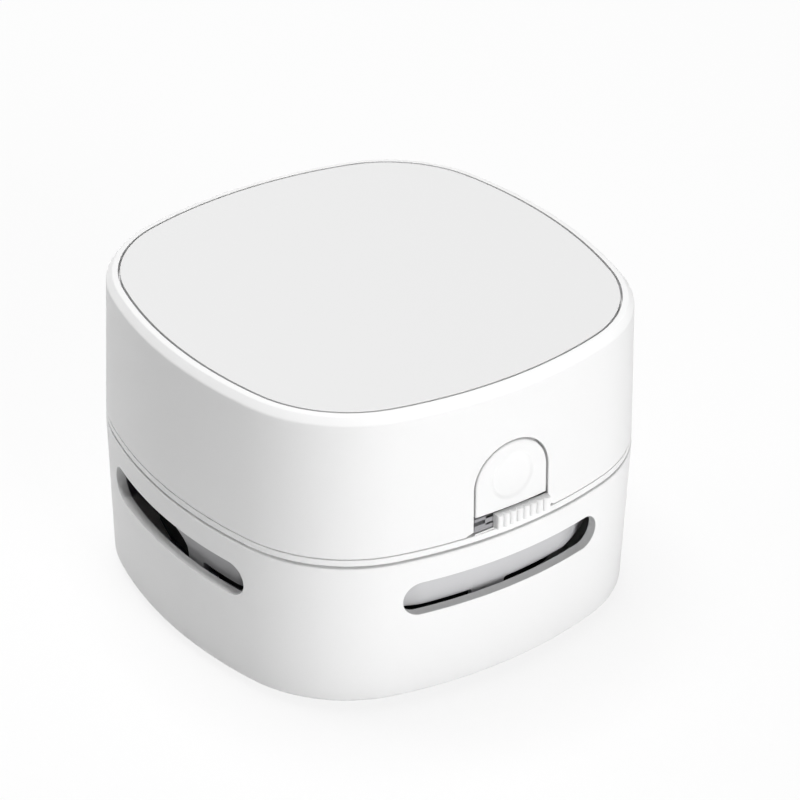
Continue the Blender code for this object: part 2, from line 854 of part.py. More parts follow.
def make_upper_shell(material):
    """The upper cover: a drafted wall, a chamfered rim with the panel's ledge, screw posts and the key's arch."""
    rings = [
        case_ring(0, upper_bottom),
        case_ring(upper_draft, side_top),
        case_ring(chamfer_inset, chamfer_top),
        case_ring(groove_inset, lip_top),
        case_ring(groove_inset, ledge_top),
        case_ring(ledge_inset, ledge_top),
        case_ring(ledge_inset, ledge_bottom),
        case_ring(upper_draft + upper_wall, ledge_bottom),
        case_ring(upper_wall, upper_bottom),
    ]
    shell = loft("upper_shell", rings)
    reach = outline_reach(math.pi / 4, upper_draft + upper_wall / 2)
    start = screw_reach()
    for x, y in screw_places():
        post = prism("post", [(x + u, y + v) for u, v in circle(post_radius, small_steps)], "Z",
                     upper_bottom, ledge_bottom + weld / 2)
        web = box("web", (start, reach), (-post_web_width / 2, post_web_width / 2),
                  (upper_bottom + post_web_width, ledge_bottom + weld / 2))
        join(shell, post, turned_copy(web, math.atan2(y, x)))
    screw_tip = lug_bottom - seat_gap + screw_length
    cut(shell, *screw_bores(upper_bottom - overrun, screw_tip + running_gap))
    doorway = arch(arch_half_width, upper_bottom - overrun, key_spring_height, arch_rise)
    cut(shell, prism("doorway", doorway, "Y", -half_width - overrun, -half_width + upper_wall + overrun))
    port = stadium(port_half_width + port_margin, port_height / 2 + port_margin, (0, port_bottom + port_height / 2))
    cut(shell, prism("port", port, "Y", half_width - upper_wall - overrun, half_width + overrun))
    return finish(shell, material)


def make_top_panel(material):
    """The flush panel: a plate on the ledge, with a rib below it that fits inside the ledge."""
    rib_outer = ledge_inset + running_gap
    rings = [
        case_ring(rib_outer + panel_rib_width, panel_bottom),
        case_ring(rib_outer + panel_rib_width, panel_bottom - panel_rib_depth),
        case_ring(rib_outer, panel_bottom - panel_rib_depth),
        case_ring(rib_outer, panel_bottom),
        case_ring(panel_inset, panel_bottom),
        case_ring(panel_inset, lip_top - panel_edge),
        case_ring(panel_inset + panel_edge, lip_top),
    ]
    return finish(loft("top_panel", rings, closed=False), material)


def make_case_screw(number, material):
    """A pan-head screw that points up, with a cross slot in its head."""
    head_top = lug_bottom - seat_gap
    head_bottom = head_top - screw_head_height
    profile = [
        (screw_head_radius * screw_crown_share, head_bottom),
        (screw_head_radius, head_bottom + screw_head_height / 2),
        (screw_head_radius, head_top),
        (screw_shank_radius, head_top),
        (screw_shank_radius, head_top + screw_length - screw_shank_radius),
        (screw_shank_radius / 2, head_top + screw_length),
    ]
    screw = turned(f"case_screw_{number}", profile, tiny_steps, closed=False)
    reach = screw_head_radius * screw_cross_share
    side = screw_slot_width / 2
    depth = (head_bottom - overrun, head_bottom + screw_slot_depth)
    cross = join(box("slot", (-reach, reach), (-side, side), depth),
                 box("slot", (-side, side), (-reach, reach), depth))
    finish(cut(screw, cross), material)
    x, y = screw_places()[number - 1]
    screw.data.transform(Matrix.Translation((x, y, 0)))
    return set_origin(screw, (x, y, head_top))


def make_impeller(material):
    """The fan wheel: a back plate and a hub with swept blades, each an arc that leans back as it goes out."""
    half = blade_thickness / 2
    blade_run = impeller_radius - half - blade_inner_radius
    profile = [
        (shaft_bore_radius, blade_bottom),
        (hub_radius, blade_bottom),
        (hub_radius + hub_root_spread, back_plate_bottom),
        (impeller_radius, back_plate_bottom),
        (impeller_radius, back_plate_top),
        (hub_radius, back_plate_top),
        (hub_radius, hub_top),
        (shaft_bore_radius, hub_top),
    ]
    wheel = turned("impeller", profile, blade_count * rim_steps_per_blade)
    for k in range(blade_count):
        outline = []
        for side in (-1, 1):
            edge = []
            for i in range(blade_steps + 1):
                share = i / blade_steps
                radius = blade_inner_radius + share * blade_run
                lean = -blade_sweep * share**blade_curve_power
                along = Vector((math.cos(lean), math.sin(lean))) * radius
                across = Vector((-math.sin(lean - blade_sweep), math.cos(lean - blade_sweep))) * half * side
                edge.append(tuple(along + across))
            outline += edge if side == 1 else edge[::-1]
        blade = prism("blade", outline, "Z", blade_bottom, back_plate_bottom + weld)
        join(wheel, turned_copy(blade, 2 * math.pi * k / blade_count))
    return set_origin(finish(wheel, material), (0, 0, back_plate_bottom))


def make_motor_shaft(material):
    low = nut_bottom - shaft_end
    high = motor_boss_bottom + shaft_depth_in_motor
    profile = [(shaft_radius, low), (shaft_radius, high)]
    return set_origin(finish(turned("motor_shaft", profile, small_steps, closed=False), material), (0, 0, low))


def make_impeller_nut(material):
    nut = prism("impeller_nut", circle(nut_radius, 6), "Z", nut_bottom, nut_top)
    bore = prism("bore", circle(shaft_bore_radius, small_steps), "Z", nut_bottom - overrun, nut_top + overrun)
    return set_origin(finish(cut(nut, bore), material), (0, 0, nut_bottom))


def make_motor_can(material):
    """The motor's steel can, with its round boss below and a blind bore for the shaft."""
    bore_top = motor_boss_bottom + shaft_depth_in_motor + seat_gap
    profile = [
        (shaft_bore_radius, bore_top),
        (shaft_bore_radius, motor_boss_bottom),
        (motor_boss_radius, motor_boss_bottom),
        (motor_boss_radius, motor_bottom),
        (motor_radius - motor_edge, motor_bottom),
        (motor_radius, motor_bottom + motor_edge),
        (motor_radius, motor_top),
    ]
    return finish(turned("motor_can", profile, medium_steps, closed=False), material)


def make_motor_cap(material):
    """The motor's end cap, with its two terminals."""
    radius = motor_radius - motor_cap_inset
    profile = [(radius, motor_cap_top - motor_cap_height), (radius, motor_cap_top - motor_edge),
               (radius - motor_edge, motor_cap_top)]
    cap = turned("motor_cap", profile, medium_steps, closed=False)
    for side in (-1, 1):
        x = side * terminal_offset
        terminal = box("terminal", (x - terminal_thickness / 2, x + terminal_thickness / 2),
                       (-terminal_width / 2, terminal_width / 2),
                       (motor_cap_top - weld, motor_cap_top + terminal_height))
        join(cap, terminal)
    return finish(cap, material)


def make_motor_sleeve(material):
    inner = motor_radius + seat_gap
    low = motor_bottom + motor_edge
    profile = [(inner, low), (inner + sleeve_thickness, low),
               (inner + sleeve_thickness, low + sleeve_height), (inner, low + sleeve_height)]
    return finish(turned("motor_sleeve", profile, medium_steps), material)


def lay_along_x(thing, y, z):
    """Lays a piece turned about +Z down along +X, with its axis at a given y and z."""
    thing.data.transform(Matrix.Translation((0, y, z)) @ Matrix.Rotation(math.pi / 2, 4, "Y"))
    return thing


def make_battery_cell(material):
    """A round cell with a raised pole, lying across the case behind the motor."""
    half = battery_length / 2
    body = half - battery_pole_height
    profile = [
        (battery_radius - battery_edge, -half),
        (battery_radius, -half + battery_edge),
        (battery_radius, body - battery_edge),
        (battery_radius - battery_edge, body),
        (battery_pole_radius, body),
        (battery_pole_radius, half),
    ]
    cell = turned("battery_cell", profile, medium_steps, closed=False)
    return finish(lay_along_x(cell, battery_offset, battery_centre_height), material)


def make_battery_cradle(material):
    """Two saddles joined by two rails, which stand on the deck and hold the cell."""
    outer = battery_radius + running_gap + saddle_wall
    low = deck_top + seat_gap
    y = (battery_offset - outer, battery_offset + outer)
    inner_x = saddle_offset - saddle_width
    cradle = box("battery_cradle", (inner_x, saddle_offset), y, (low, low + saddle_height))
    join(cradle, box("saddle", (-saddle_offset, -inner_x), y, (low, low + saddle_height)))
    rail_x = (-inner_x - weld, inner_x + weld)
    rail_z = (low + rail_rise, low + rail_rise + rail_height)
    for rail_y in ((y[0], y[0] + rail_width), (y[1] - rail_width, y[1])):
        join(cradle, box("rail", rail_x, rail_y, rail_z))
    reach = saddle_offset + overrun
    hollow = turned("hollow", [(battery_radius + running_gap, -reach), (battery_radius + running_gap, reach)],
                    medium_steps, closed=False)
    return finish(cut(cradle, lay_along_x(hollow, battery_offset, battery_centre_height)), material)


def make_circuit_board(material):
    """The charging board on its four feet, with two chips."""
    board = box("circuit_board", (-board_half_width, board_half_width), (board_front, board_rear),
                (board_bottom, board_top))
    middle = (board_front + port_front) / 2
    for x in (-board_half_width / 2, board_half_width / 2):
        chip = box("chip", (x - chip_size / 2, x + chip_size / 2), (middle - chip_size / 2, middle + chip_size / 2),
                   (board_top - weld, board_top + chip_height))
        join(board, chip)
    return finish(board, material)


def make_charge_socket(material):
    """The charging socket: an oblong shell with its mouth at the rear."""
    centre = (0, port_bottom + port_height / 2)
    socket = prism("charge_socket", stadium(port_half_width, port_height / 2, centre), "Y", port_front, port_rear)
    mouth = stadium(port_half_width - port_wall, port_height / 2 - port_wall, centre)
    cut(socket, prism("mouth", mouth, "Y", port_front + port_back_wall, port_rear + overrun))
    return finish(socket, material)


def make_switch_guide(material):
    """The guide behind the knob: a block with a channel between two rails, and a slot for the knob's stem."""
    guide = box("switch_guide", (-guide_half_width, guide_half_width), (guide_front, guide_back),
                (guide_bottom, guide_top))
    channel = (guide_bottom + guide_rail_height / 2, guide_top - guide_rail_height)
    far = guide_half_width + overrun
    cut(guide, box("channel", (-far, far), (guide_front - overrun, guide_front + guide_channel_depth), channel))
    side = stem_slot_half_width()
    cut(guide, box("slot", (-side, side), (guide_front - overrun, guide_back + overrun), stem_slot_heights()))
    return finish(guide, material)


def stem_slot_half_width():
    return knob_travel / 2 + stem_half_width + running_gap


def stem_slot_heights():
    return stem_bottom - stem_gap, stem_bottom + stem_height + stem_gap


def make_switch_body(material):
    """The slide switch: a block with a slot for the knob's stem and three pins at its back."""
    back = switch_front + switch_depth
    body = box("switch_body", (-switch_half_width, switch_half_width), (switch_front, back),
               (guide_bottom, switch_top))
    side = stem_slot_half_width()
    cut(body, box("slot", (-side, side), (switch_front - overrun, switch_front + switch_slot_depth),
                  stem_slot_heights()))
    middle = (guide_bottom + switch_top) / 2
    for k in (-1, 0, 1):
        pin = box("pin", (k * pin_pitch - pin_width / 2, k * pin_pitch + pin_width / 2),
                  (back - weld, back + pin_length), (middle - pin_width / 2, middle + pin_width / 2))
        join(body, pin)
    return finish(body, material)


def make_slide_knob(material):
    """The ribbed knob: a scalloped front carried up as a prism, and the stem that reaches the switch."""
    front = -half_width - knob_proud
    left = knob_right - knob_width
    pitch = knob_width / knob_rib_count
    outline = [(left, knob_back)]
    for k in range(knob_rib_count):
        start = left + k * pitch
        outline += [(start if k == 0 else start + pitch * knob_groove_share / 2, front),
                    (start + pitch * (1 - knob_groove_share / 2 if k < knob_rib_count - 1 else 1), front)]
        if k < knob_rib_count - 1:
            outline.append((start + pitch, front + knob_rib_depth))
    outline.append((knob_right, knob_back))
    knob = prism("slide_knob", outline, "Z", knob_bottom, knob_bottom + knob_height)
    stem_back = switch_front + switch_slot_depth - running_gap
    stem = box("stem", (knob_centre - stem_half_width, knob_centre + stem_half_width), (knob_back - weld, stem_back),
               (stem_bottom, stem_bottom + stem_height))
    return set_origin(finish(join(knob, stem), material), (knob_centre, knob_back, knob_bottom))


def make_push_key(material):
    """The key: an arch that follows the case's side, a flange behind the wall and a round finger dimple."""
    outline = arch(key_half_width, key_bottom, key_spring_height, arch_rise - key_arch_gap)
    key = prism("push_key", outline, "Y", -half_width - overrun, key_flange_back - key_flange_thickness / 2)
    skin = loft("skin", [
        case_ring(key_flush_inset, upper_bottom),
        case_ring(upper_draft + key_flush_inset, side_top),
    ], closed=False)
    combine(key, skin, "INTERSECT")
    margin = key_flange_margin
    flange = arch(key_half_width + margin, key_bottom, key_spring_height, arch_rise - key_arch_gap + margin)
    join(key, prism("flange", flange, "Y", key_flange_front, key_flange_back))
    # a shallow bowl with the dimple's radius and depth, turned about the line of the push
    ball = (dimple_radius**2 + dimple_depth**2) / (2 * dimple_depth)
    slope = math.asin((dimple_radius + weld) / ball)
    rings = []
    surface = -half_width + key_flush_inset + upper_draft * dimple_rise / upper_side_height
    for k in range(1, dimple_rings + 1):
        angle = slope * k / dimple_rings
        y = surface + dimple_depth - ball * (1 - math.cos(angle))
        rings.append([(u, y, dimple_height + v) for u, v in circle(ball * math.sin(angle), dimple_steps)])
    rings.append([(x, surface - overrun, z) for x, y, z in rings[-1]])
    cut(key, loft("dimple", rings, closed=False))
    return set_origin(finish(key, material), (0, -half_width, dimple_height))


def make_latch_yoke(material):
    """The hook behind the key: a bridge with two legs that reach down past the switch to the strikes."""
    outer = leg_inner + leg_width
    bridge_bottom = switch_top + running_gap * 2
    bridge_top = bridge_bottom + yoke_bridge_height
    pad = yoke_pad_half_width
    right = [(leg_inner, bridge_bottom), (leg_inner, hook_bottom), (outer, hook_bottom), (outer, bridge_top),
             (pad, bridge_top), (pad, bridge_top + yoke_pad_height)]
    outline = right + [(-x, z) for x, z in reversed(right)]
    yoke = prism("latch_yoke", outline, "Y", yoke_front, yoke_back)
    nose = [(yoke_front + weld, hook_bottom), (hook_tip, hook_bottom + hook_height / 2), (hook_tip, hook_top),
            (yoke_front + weld, hook_top)]
    for side in (-1, 1):
        x = sorted((side * leg_inner, side * outer))
        join(yoke, prism("nose", nose, "X", x[0], x[1]))
    return set_origin(finish(yoke, material), (0, yoke_front, hook_top))


def make_key_spring(material):
    """The coil behind the key: one tube along +Y. Its least gap to itself is measured and printed."""
    start = yoke_back + seat_gap + spring_wire_radius
    end = spring_wall_front - seat_gap - spring_wire_radius
    count = round(spring_turns * spring_points_per_turn)
    points = []
    for k in range(count + 1):
        angle = 2 * math.pi * k / spring_points_per_turn
        points.append(Vector((spring_radius * math.cos(angle), start + (end - start) * k / count,
                              dimple_height + spring_radius * math.sin(angle))))
    nearest = min((a - b).length for i, a in enumerate(points) for b in points[i + spring_points_per_turn // 2:])
    print(f"key_spring: least gap to itself {(nearest - 2 * spring_wire_radius) * 1000:.2f} mm")
    curve = bpy.data.curves.new("key_spring", "CURVE")
    curve.dimensions = "3D"
    curve.bevel_depth = spring_wire_radius
    curve.bevel_resolution = 1
    curve.use_fill_caps = True
    spline = curve.splines.new("POLY")
    spline.points.add(count)
    for place, point in zip(spline.points, points):
        place.co = (*point, 1.0)
    curve.materials.append(material)
    spring = bpy.data.objects.new("key_spring", curve)
    bpy.context.scene.collection.objects.link(spring)
    return spring


def main():
    for thing in list(bpy.data.objects):
        bpy.data.objects.remove(thing)
    white = make_material("white plastic", (0.84, 0.84, 0.84), 0.42)
    panel_grey = make_material("matte panel", (0.74, 0.74, 0.74), 0.60)
    light_grey = make_material("light grey plastic", (0.60, 0.60, 0.61), 0.50)
    rail_grey = make_material("guide plastic", (0.30, 0.30, 0.31), 0.50)
    black = make_material("black plastic", (0.015, 0.015, 0.016), 0.45)
    rubber = make_material("rubber", (0.03, 0.03, 0.03), 0.80)
    bristle = make_material("nylon bristle", (0.05, 0.05, 0.055), 0.60)
    paper = make_material("filter paper", (0.70, 0.69, 0.65), 0.90)
    steel = make_material("steel", (0.62, 0.62, 0.63), 0.28, 1.0)
    film = make_material("cell wrap", (0.10, 0.22, 0.45), 0.35)
    board_green = make_material("board", (0.02, 0.16, 0.07), 0.50)

    make_lower_shell(white)
    make_intake_funnel(black)
    make_cup_gasket(rubber)
    for number in range(1, strip_count + 1):
        make_brush_strip(number, bristle)
    make_filter_frame(black)
    make_filter_element(paper)
    make_inlet_plate(black)
    make_fan_housing(light_grey)
    make_chassis_plate(white)
    make_upper_shell(white)
    make_top_panel(panel_grey)
    for number in range(1, len(screw_places()) + 1):
        make_case_screw(number, steel)
    make_impeller(black)
    make_motor_shaft(steel)
    make_impeller_nut(steel)
    make_motor_can(steel)
    make_motor_cap(black)
    make_motor_sleeve(rubber)
    make_battery_cell(film)
    make_battery_cradle(black)
    make_circuit_board(board_green)
    make_charge_socket(steel)
    make_switch_guide(rail_grey)
    make_switch_body(black)
    make_slide_knob(white)
    make_push_key(white)
    make_latch_yoke(black)
    make_key_spring(steel)


main()
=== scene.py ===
"""The looks of a desktop mini vacuum cleaner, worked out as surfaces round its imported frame.

Metres, +Z up. The push key and the slide knob face -Y. A node's place is in its mesh, so every new piece is
made where the frame has it, and every object stays at the origin.
"""

import math

import bmesh
import bpy
import numpy as np
from mathutils import Matrix, Vector


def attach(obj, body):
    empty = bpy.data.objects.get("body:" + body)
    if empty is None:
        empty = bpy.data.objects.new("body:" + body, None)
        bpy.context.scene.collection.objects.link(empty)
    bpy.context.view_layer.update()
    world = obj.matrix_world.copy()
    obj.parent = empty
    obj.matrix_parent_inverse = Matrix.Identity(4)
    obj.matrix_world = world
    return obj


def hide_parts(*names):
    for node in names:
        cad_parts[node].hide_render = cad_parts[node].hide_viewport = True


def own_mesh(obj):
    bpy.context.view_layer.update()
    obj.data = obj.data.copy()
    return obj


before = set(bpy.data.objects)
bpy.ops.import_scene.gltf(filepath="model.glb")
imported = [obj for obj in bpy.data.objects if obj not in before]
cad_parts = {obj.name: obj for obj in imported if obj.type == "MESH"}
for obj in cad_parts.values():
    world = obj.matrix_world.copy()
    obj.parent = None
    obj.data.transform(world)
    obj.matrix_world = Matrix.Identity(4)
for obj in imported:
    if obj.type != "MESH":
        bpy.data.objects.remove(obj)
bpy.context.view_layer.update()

bl_info = {
    "name": "Desk Vacuum Cleaner",
    "version": (1, 0, 0),
    "blender": (4, 5, 0),
    "location": "3D Viewport > Sidebar > Desk Cleaner",
    "description": "Builds the visible pieces, finishes and studio of a desktop mini vacuum cleaner",
    "category": "Object",
}

QUARTER = math.pi / 2
FULL_TURN = 2 * math.pi
ANGLE_DIGITS = 6

# Fits that the pieces share
seat_gap = 0.0003
embed = 0.0005
merge_distance = 0.000002
crisp_angle = math.radians(38)
edge_radius = 0.00016
soft_edge_radius = 0.00028
sharp_edge_radius = 0.00008
ease_steps = 4
block_steps = 3
round_steps = 40
reach_share = 0.45

# Plan of the case: four side arcs and four corner arcs that meet smoothly
half_width = 0.0420
side_arc_radius = 0.0821
corner_radius = 0.0252
side_centre = half_width - side_arc_radius
corner_centre = (side_centre + math.sqrt(2 * (side_arc_radius - corner_radius)**2 - side_centre**2)) / 2
joint_angle = math.atan2(corner_centre, corner_centre - side_centre)
corner_steps = 22
end_steps = 8
straight_steps = 26
side_steps = end_steps + straight_steps + end_steps
level_steps = 16
skin_rows = 7

# Lower shell
shell_bottom = 0.0015
lower_top = 0.0291
lower_wall = 0.00155
lower_foot_inset = 0.00067
lower_lip_bulge = 0.00009
lower_lip_radius = 0.00030
foot_chamfer = 0.0004
foot_rim_width = 0.0016
floor_bottom = 0.0030
floor_top = 0.0050
cup_radius = 0.0330
cup_wall = 0.0014
cup_top = 0.0117
throat_radius = 0.0059
funnel_wall = 0.0010
slot_half_length = 0.0202
slot_radius = 0.00324
slot_height = 0.02105
slot_edge_radius = 0.00011
slot_collar = 0.0003
lower_band = (0.0150, 0.0272)
rib_count = 8
rib_width = 0.0010
rib_top = 0.0090
strike_half_width = 0.0020
strike_centre = 0.0098
strike_back = -0.0389
strike_heights = (0.0274, 0.0289)

# Bristle strips
strip_count = 4
strip_sweep = math.radians(80)
strip_inner_radius = 0.0240
strip_outer_radius = 0.0310
strip_bottom = 0.0027
strip_top = 0.0039
tufts_across = 4
tufts_along = 19
bristles_per_tuft = 14
bristle_radius = 0.00011
tuft_spread = 0.00055
strip_stations = 49
bristle_corners = 3
bristle_level_shares = (0, 0.5, 1)
bristle_flare = 0.00035
bristle_scatter = bristle_flare / 3

# Chassis plate
deck_bottom = 0.0296
deck_top = 0.03075
trim_reach = 0.00002
trim_depth = 0.0009

# Upper shell and its panel
upper_bottom = 0.0310
upper_wall = 0.0017
side_top = 0.0561
upper_draft = 0.00075
chamfer_inset = 0.0018
chamfer_top = 0.05734
lip_top = 0.0575
groove_inset = 0.0028
ledge_inset = 0.0065
ledge_top = 0.05575
ledge_bottom = 0.05435
upper_band_top = 0.0500
panel_inset = 0.0032
panel_bottom = 0.05605
panel_rib_width = 0.0010
panel_rib_depth = 0.0011
arch_half_width = 0.0077
arch_spring_height = 0.0393
arch_rise = 0.0076
flare_width = 0.0013
flare_height = 0.00035
jamb_steps = 8
post_radius = 0.0030
post_bore_radius = 0.0016
post_bore_top = 0.0397
post_web_width = 0.0012
screw_offset = 0.0277
screw_reach = screw_offset * math.sqrt(2)
port_half_length = 0.0048
port_radius = 0.0019
port_height = 0.0350

# Push key
key_half_width = 0.0073
key_bottom = 0.0341
key_rise = 0.0072
key_flush_inset = 0.00005
key_flange_margin = 0.0016
key_flange_front = -0.0391
key_flange_back = -0.0379
dimple_radius = 0.0041
dimple_depth = 0.0005
dimple_height = 0.0400
dimple_lip = 0.0007
crown_points = 65
bottom_points = 17
jamb_points = 9
dimple_rows = 26
face_rows = 9

# Slide knob and its guide
knob_left = -0.0036
knob_right = 0.0074
knob_front = -0.0429
knob_back = -0.0414
knob_heights = (0.03105, 0.03375)
knob_rib_count = 8
knob_groove_depth = 0.0008
knob_column_share = 0.05
rib_sharpness_share = 0.38
stem_half_width = 0.0009
stem_back = -0.0370
stem_heights = (0.03185, 0.03255)
guide_half_width = 0.0074
guide_front = -0.04135
guide_back = -0.0388
guide_heights = (0.03105, 0.0337)
guide_slit_heights = (0.03235, 0.0331)
guide_slit_end = -0.0052
guide_slit_back = -0.0402
sill_width = 0.00022
sill_top = 0.0310

# Fan housing
bowl_wall = 0.0014
bowl_bottom = 0.0173
bowl_top = 0.0293
bowl_rim_inset = 0.0036
bowl_reach = 0.0399
crown_radius = 0.0220
boss_bore_radius = 0.0053
tab_bottom = 0.0125
tab_chamfer = 0.0010
tab_fillet = 0.0006
tab_step = 0.00002
tab_points = 7
tab_turns = [math.radians(degrees) for degrees in (5.7, 87.2, 185.7, 267.2)]
tab_half_widths = (0.0022, 0.0034, 0.0022, 0.0034)
outlet_turn = math.radians(17.7)
outlet_half_sweep = math.radians(20.0)
outlet_height = 0.0029
outlet_points = 41
bowl_columns = 360
bowl_rows = 25
lug_radius = 0.0032
lug_heights = (0.0281, 0.0292)

# Moulded finishes
white_mould = dict(roughness=0.40, grain_size=0.00022, grain_depth=2.2e-6, flow_size=0.018, tint_share=0.015)
panel_mould = dict(roughness=0.62, grain_size=0.00030, grain_depth=6.0e-6, flow_size=0.018, tint_share=0.015)
grey_mould = dict(roughness=0.48, grain_size=0.00025, grain_depth=3.0e-6, flow_size=0.010, tint_share=0.04)
guide_mould = dict(roughness=0.45, grain_size=0.00022, grain_depth=3.0e-6, flow_size=0.004, tint_share=0.05)
black_mould = dict(roughness=0.42, grain_size=0.00028, grain_depth=4.5e-6, flow_size=0.008, tint_share=0.12)
rubber_mould = dict(roughness=0.78, grain_size=0.00040, grain_depth=8.0e-6, flow_size=0.005, tint_share=0.15)
gloss_shift = 0.03
pattern_low_share = 0.35
pattern_high_share = 0.65
plain_detail = 2.0
fine_detail = 3.0

# Other finishes
bristle_roughness = 0.42
strand_size = 0.00033
tip_tint_share = 2.2
paper_roughness = 0.9
fibre_size = 0.0004
fibre_detail = 6.0
fibre_depth = 0.00005
fibre_tint_share = 0.86
steel_roughness = 0.3
steel_low_roughness = 0.22
steel_high_roughness = 0.38
drawn_line_size = 0.00025
drawn_line_depth = 0.000004
drawn_stretch_share = 0.04
wrap_roughness = 0.25
wrinkle_size = 0.004
wrinkle_depth = 0.00003
wrinkle_tint_share = 0.9
board_roughness = 0.4
tracks_per_metre = 260
track_depth = 0.00003
track_tint_share = 0.8
lacquer_tint_share = 2.0

# Floor and camera
floor_half_width = 4.0
floor_roughness = 0.9
floor_sheen_share = 0.2
aim_right = 0.005764
aim_up = 0.027035
camera_reach = 16.0
lens_millimetres = 154.26
sensor_millimetres = 36.0


# Meshes

def grid_faces(rows, columns, wrap=False):
    """Quads of a grid numbered row by row. A wrapped grid's last column joins its first."""
    row = np.arange(rows - 1)[:, None] * columns
    column = np.arange(columns if wrap else columns - 1)[None, :]
    following = (column + 1) % columns
    corners = (row + column, row + following, row + columns + following, row + columns + column)
    return np.stack(corners, axis=-1).reshape(-1, 4)


def grid_part(points, wrap=False):
    """A part made of a (rows, columns, 3) array of points."""
    rows, columns = points.shape[:2]
    return points.reshape(-1, 3), grid_faces(rows, columns, wrap)


def flat_points(radius, angle):
    """Points (x, y) at a radius and an angle about the fan's axis."""
    return np.stack([radius * np.cos(angle), radius * np.sin(angle)], axis=-1)


def round_points(radius, angle, height):
    """Points (x, y, z) at a radius, an angle and a height."""
    flat = flat_points(radius, angle)
    height = np.broadcast_to(np.asarray(height)[..., None], (*flat.shape[:-1], 1))
    return np.concatenate([flat, height], axis=-1)


def level_points(row, height):
    """A row of (x, y) at one height."""
    return np.column_stack([row, np.full(len(row), height)])


def face_points(row, depth):
    """A row of (x, z) at its depths, or at one depth."""
    return np.column_stack([row[:, 0], np.broadcast_to(depth, len(row)), row[:, 1]])


def cap_part(rim, middle):
    """Closes a rim of points towards its middle."""
    return grid_part(np.stack([rim, np.broadcast_to(middle, rim.shape)]))


def turn_part(part, angle):
    """A part turned about the fan's axis."""
    points, faces = part
    turn = np.array(Matrix.Rotation(angle, 3, "Z"))
    return points @ turn.T, faces


def add_object(name, data):
    """Puts a mesh, a light or a camera into the scene."""
    thing = bpy.data.objects.new(name, data)
    bpy.context.scene.collection.objects.link(thing)
    return thing


def build_object(name, parts, material):
    """Joins parts into one mesh object, merges its doubles, turns its faces outwards and shades it."""
    counts = np.cumsum([0] + [len(points) for points, faces in parts])
    points = np.concatenate([points for points, faces in parts])
    faces = np.concatenate([faces + start for (_, faces), start in zip(parts, counts)])
    mesh = bpy.data.meshes.new(name)
    mesh.from_pydata(points.tolist(), [], faces.tolist())
    bm = bmesh.new()
    bm.from_mesh(mesh)
    bmesh.ops.remove_doubles(bm, verts=bm.verts, dist=merge_distance)
    bmesh.ops.dissolve_degenerate(bm, edges=bm.edges, dist=merge_distance)
    bmesh.ops.recalc_face_normals(bm, faces=bm.faces)
    bm.to_mesh(mesh)
    bm.free()
    mesh.materials.append(material)
    mesh.shade_smooth()
    mesh.set_sharp_from_angle(angle=crisp_angle)
    piece = add_object(name, mesh)
    weighting = piece.modifiers.new("even shading", "WEIGHTED_NORMAL")
    weighting.keep_sharp = True
    return piece


def eased(corners, radius, closed=False):
    """Rounds a profile's corners: each gives way to a parabola that touches both sides at that distance."""
    corners = np.asarray(corners, float)
    before = np.roll(corners, 1, axis=0)
    after = np.roll(corners, -1, axis=0)
    if not closed:
        before, after, inner = before[1:-1], after[1:-1], corners[1:-1]
    else:
        inner = corners
    radius = np.broadcast_to(radius, len(inner))[:, None]
    sides = []
    for other in (before, after):
        length = np.linalg.norm(other - inner, axis=1, keepdims=True)
        sides.append(inner + (other - inner) * np.minimum(radius / length, reach_share))
    share = np.linspace(0, 1, ease_steps + 1)[None, :, None]
    first, last = sides[0][:, None], sides[1][:, None]
    curve = (1 - share)**2 * first + 2 * share * (1 - share) * inner[:, None] + share**2 * last
    curve = curve.reshape(-1, corners.shape[1])
    if closed:
        return np.concatenate([curve, curve[:1]])
    return np.concatenate([corners[:1], curve, corners[-1:]])


# Outline of the case

def turned_by(angles, middle):
    """Angles from a middle, each within half a turn."""
    return np.angle(np.exp(1j * (angles - middle)))


def side_angles():
    """Directions of the stations along one side, evenly spaced in x over a slot's straight part."""
    edge = side_arc_radius * math.sin(joint_angle)
    straight = slot_half_length - slot_radius
    x = np.concatenate([
        np.linspace(-edge, -straight, end_steps + 1),
        np.linspace(-straight, straight, straight_steps + 1)[1:],
        np.linspace(straight, edge, end_steps + 1)[1:],
    ])
    angles = np.arcsin(x / side_arc_radius)
    angles[0], angles[-1] = -joint_angle, joint_angle
    return angles


def corner_angles():
    """Directions of the stations round one corner, evenly spaced."""
    return np.linspace(joint_angle, QUARTER - joint_angle, corner_steps + 1)


def arc_points(angles, inset, is_corner):
    """Points of the front's side arc, or of the corner arc at its right, drawn in by an inset."""
    normals = np.stack([np.sin(angles), -np.cos(angles)], axis=-1)
    centre = np.array([corner_centre, -corner_centre] if is_corner else [0, -side_centre])
    radius = corner_radius if is_corner else side_arc_radius
    return centre + (radius - np.asarray(inset)[..., None]) * normals


def outline(inset):
    """The whole outline: a side and a corner, four times, each a quarter of a turn on."""
    quarter = np.concatenate([arc_points(side_angles()[:-1], inset, False),
                              arc_points(corner_angles()[:-1], inset, True)])
    turns = [np.array(Matrix.Rotation(k * QUARTER, 2)) for k in range(4)]
    return np.concatenate([quarter @ turn.T for turn in turns])


def case_rows(profile):
    """Carries a profile of (inset, height) round the outline."""
    return np.stack([level_points(outline(inset), height) for inset, height in profile])


def round_rows(profile):
    """Carries a profile of (radius, height) round a circle, at the outline's directions."""
    directions = outline(0)
    directions = directions / np.linalg.norm(directions, axis=1, keepdims=True)
    return np.stack([level_points(radius * directions, height) for radius, height in profile])


def turned_part(profile):
    """Turns a profile of (radius, height) about the fan's axis."""
    profile = np.asarray(profile)
    angle = np.arange(round_steps) * FULL_TURN / round_steps
    return grid_part(round_points(profile[:, :1], angle, profile[:, 1:]), wrap=True)


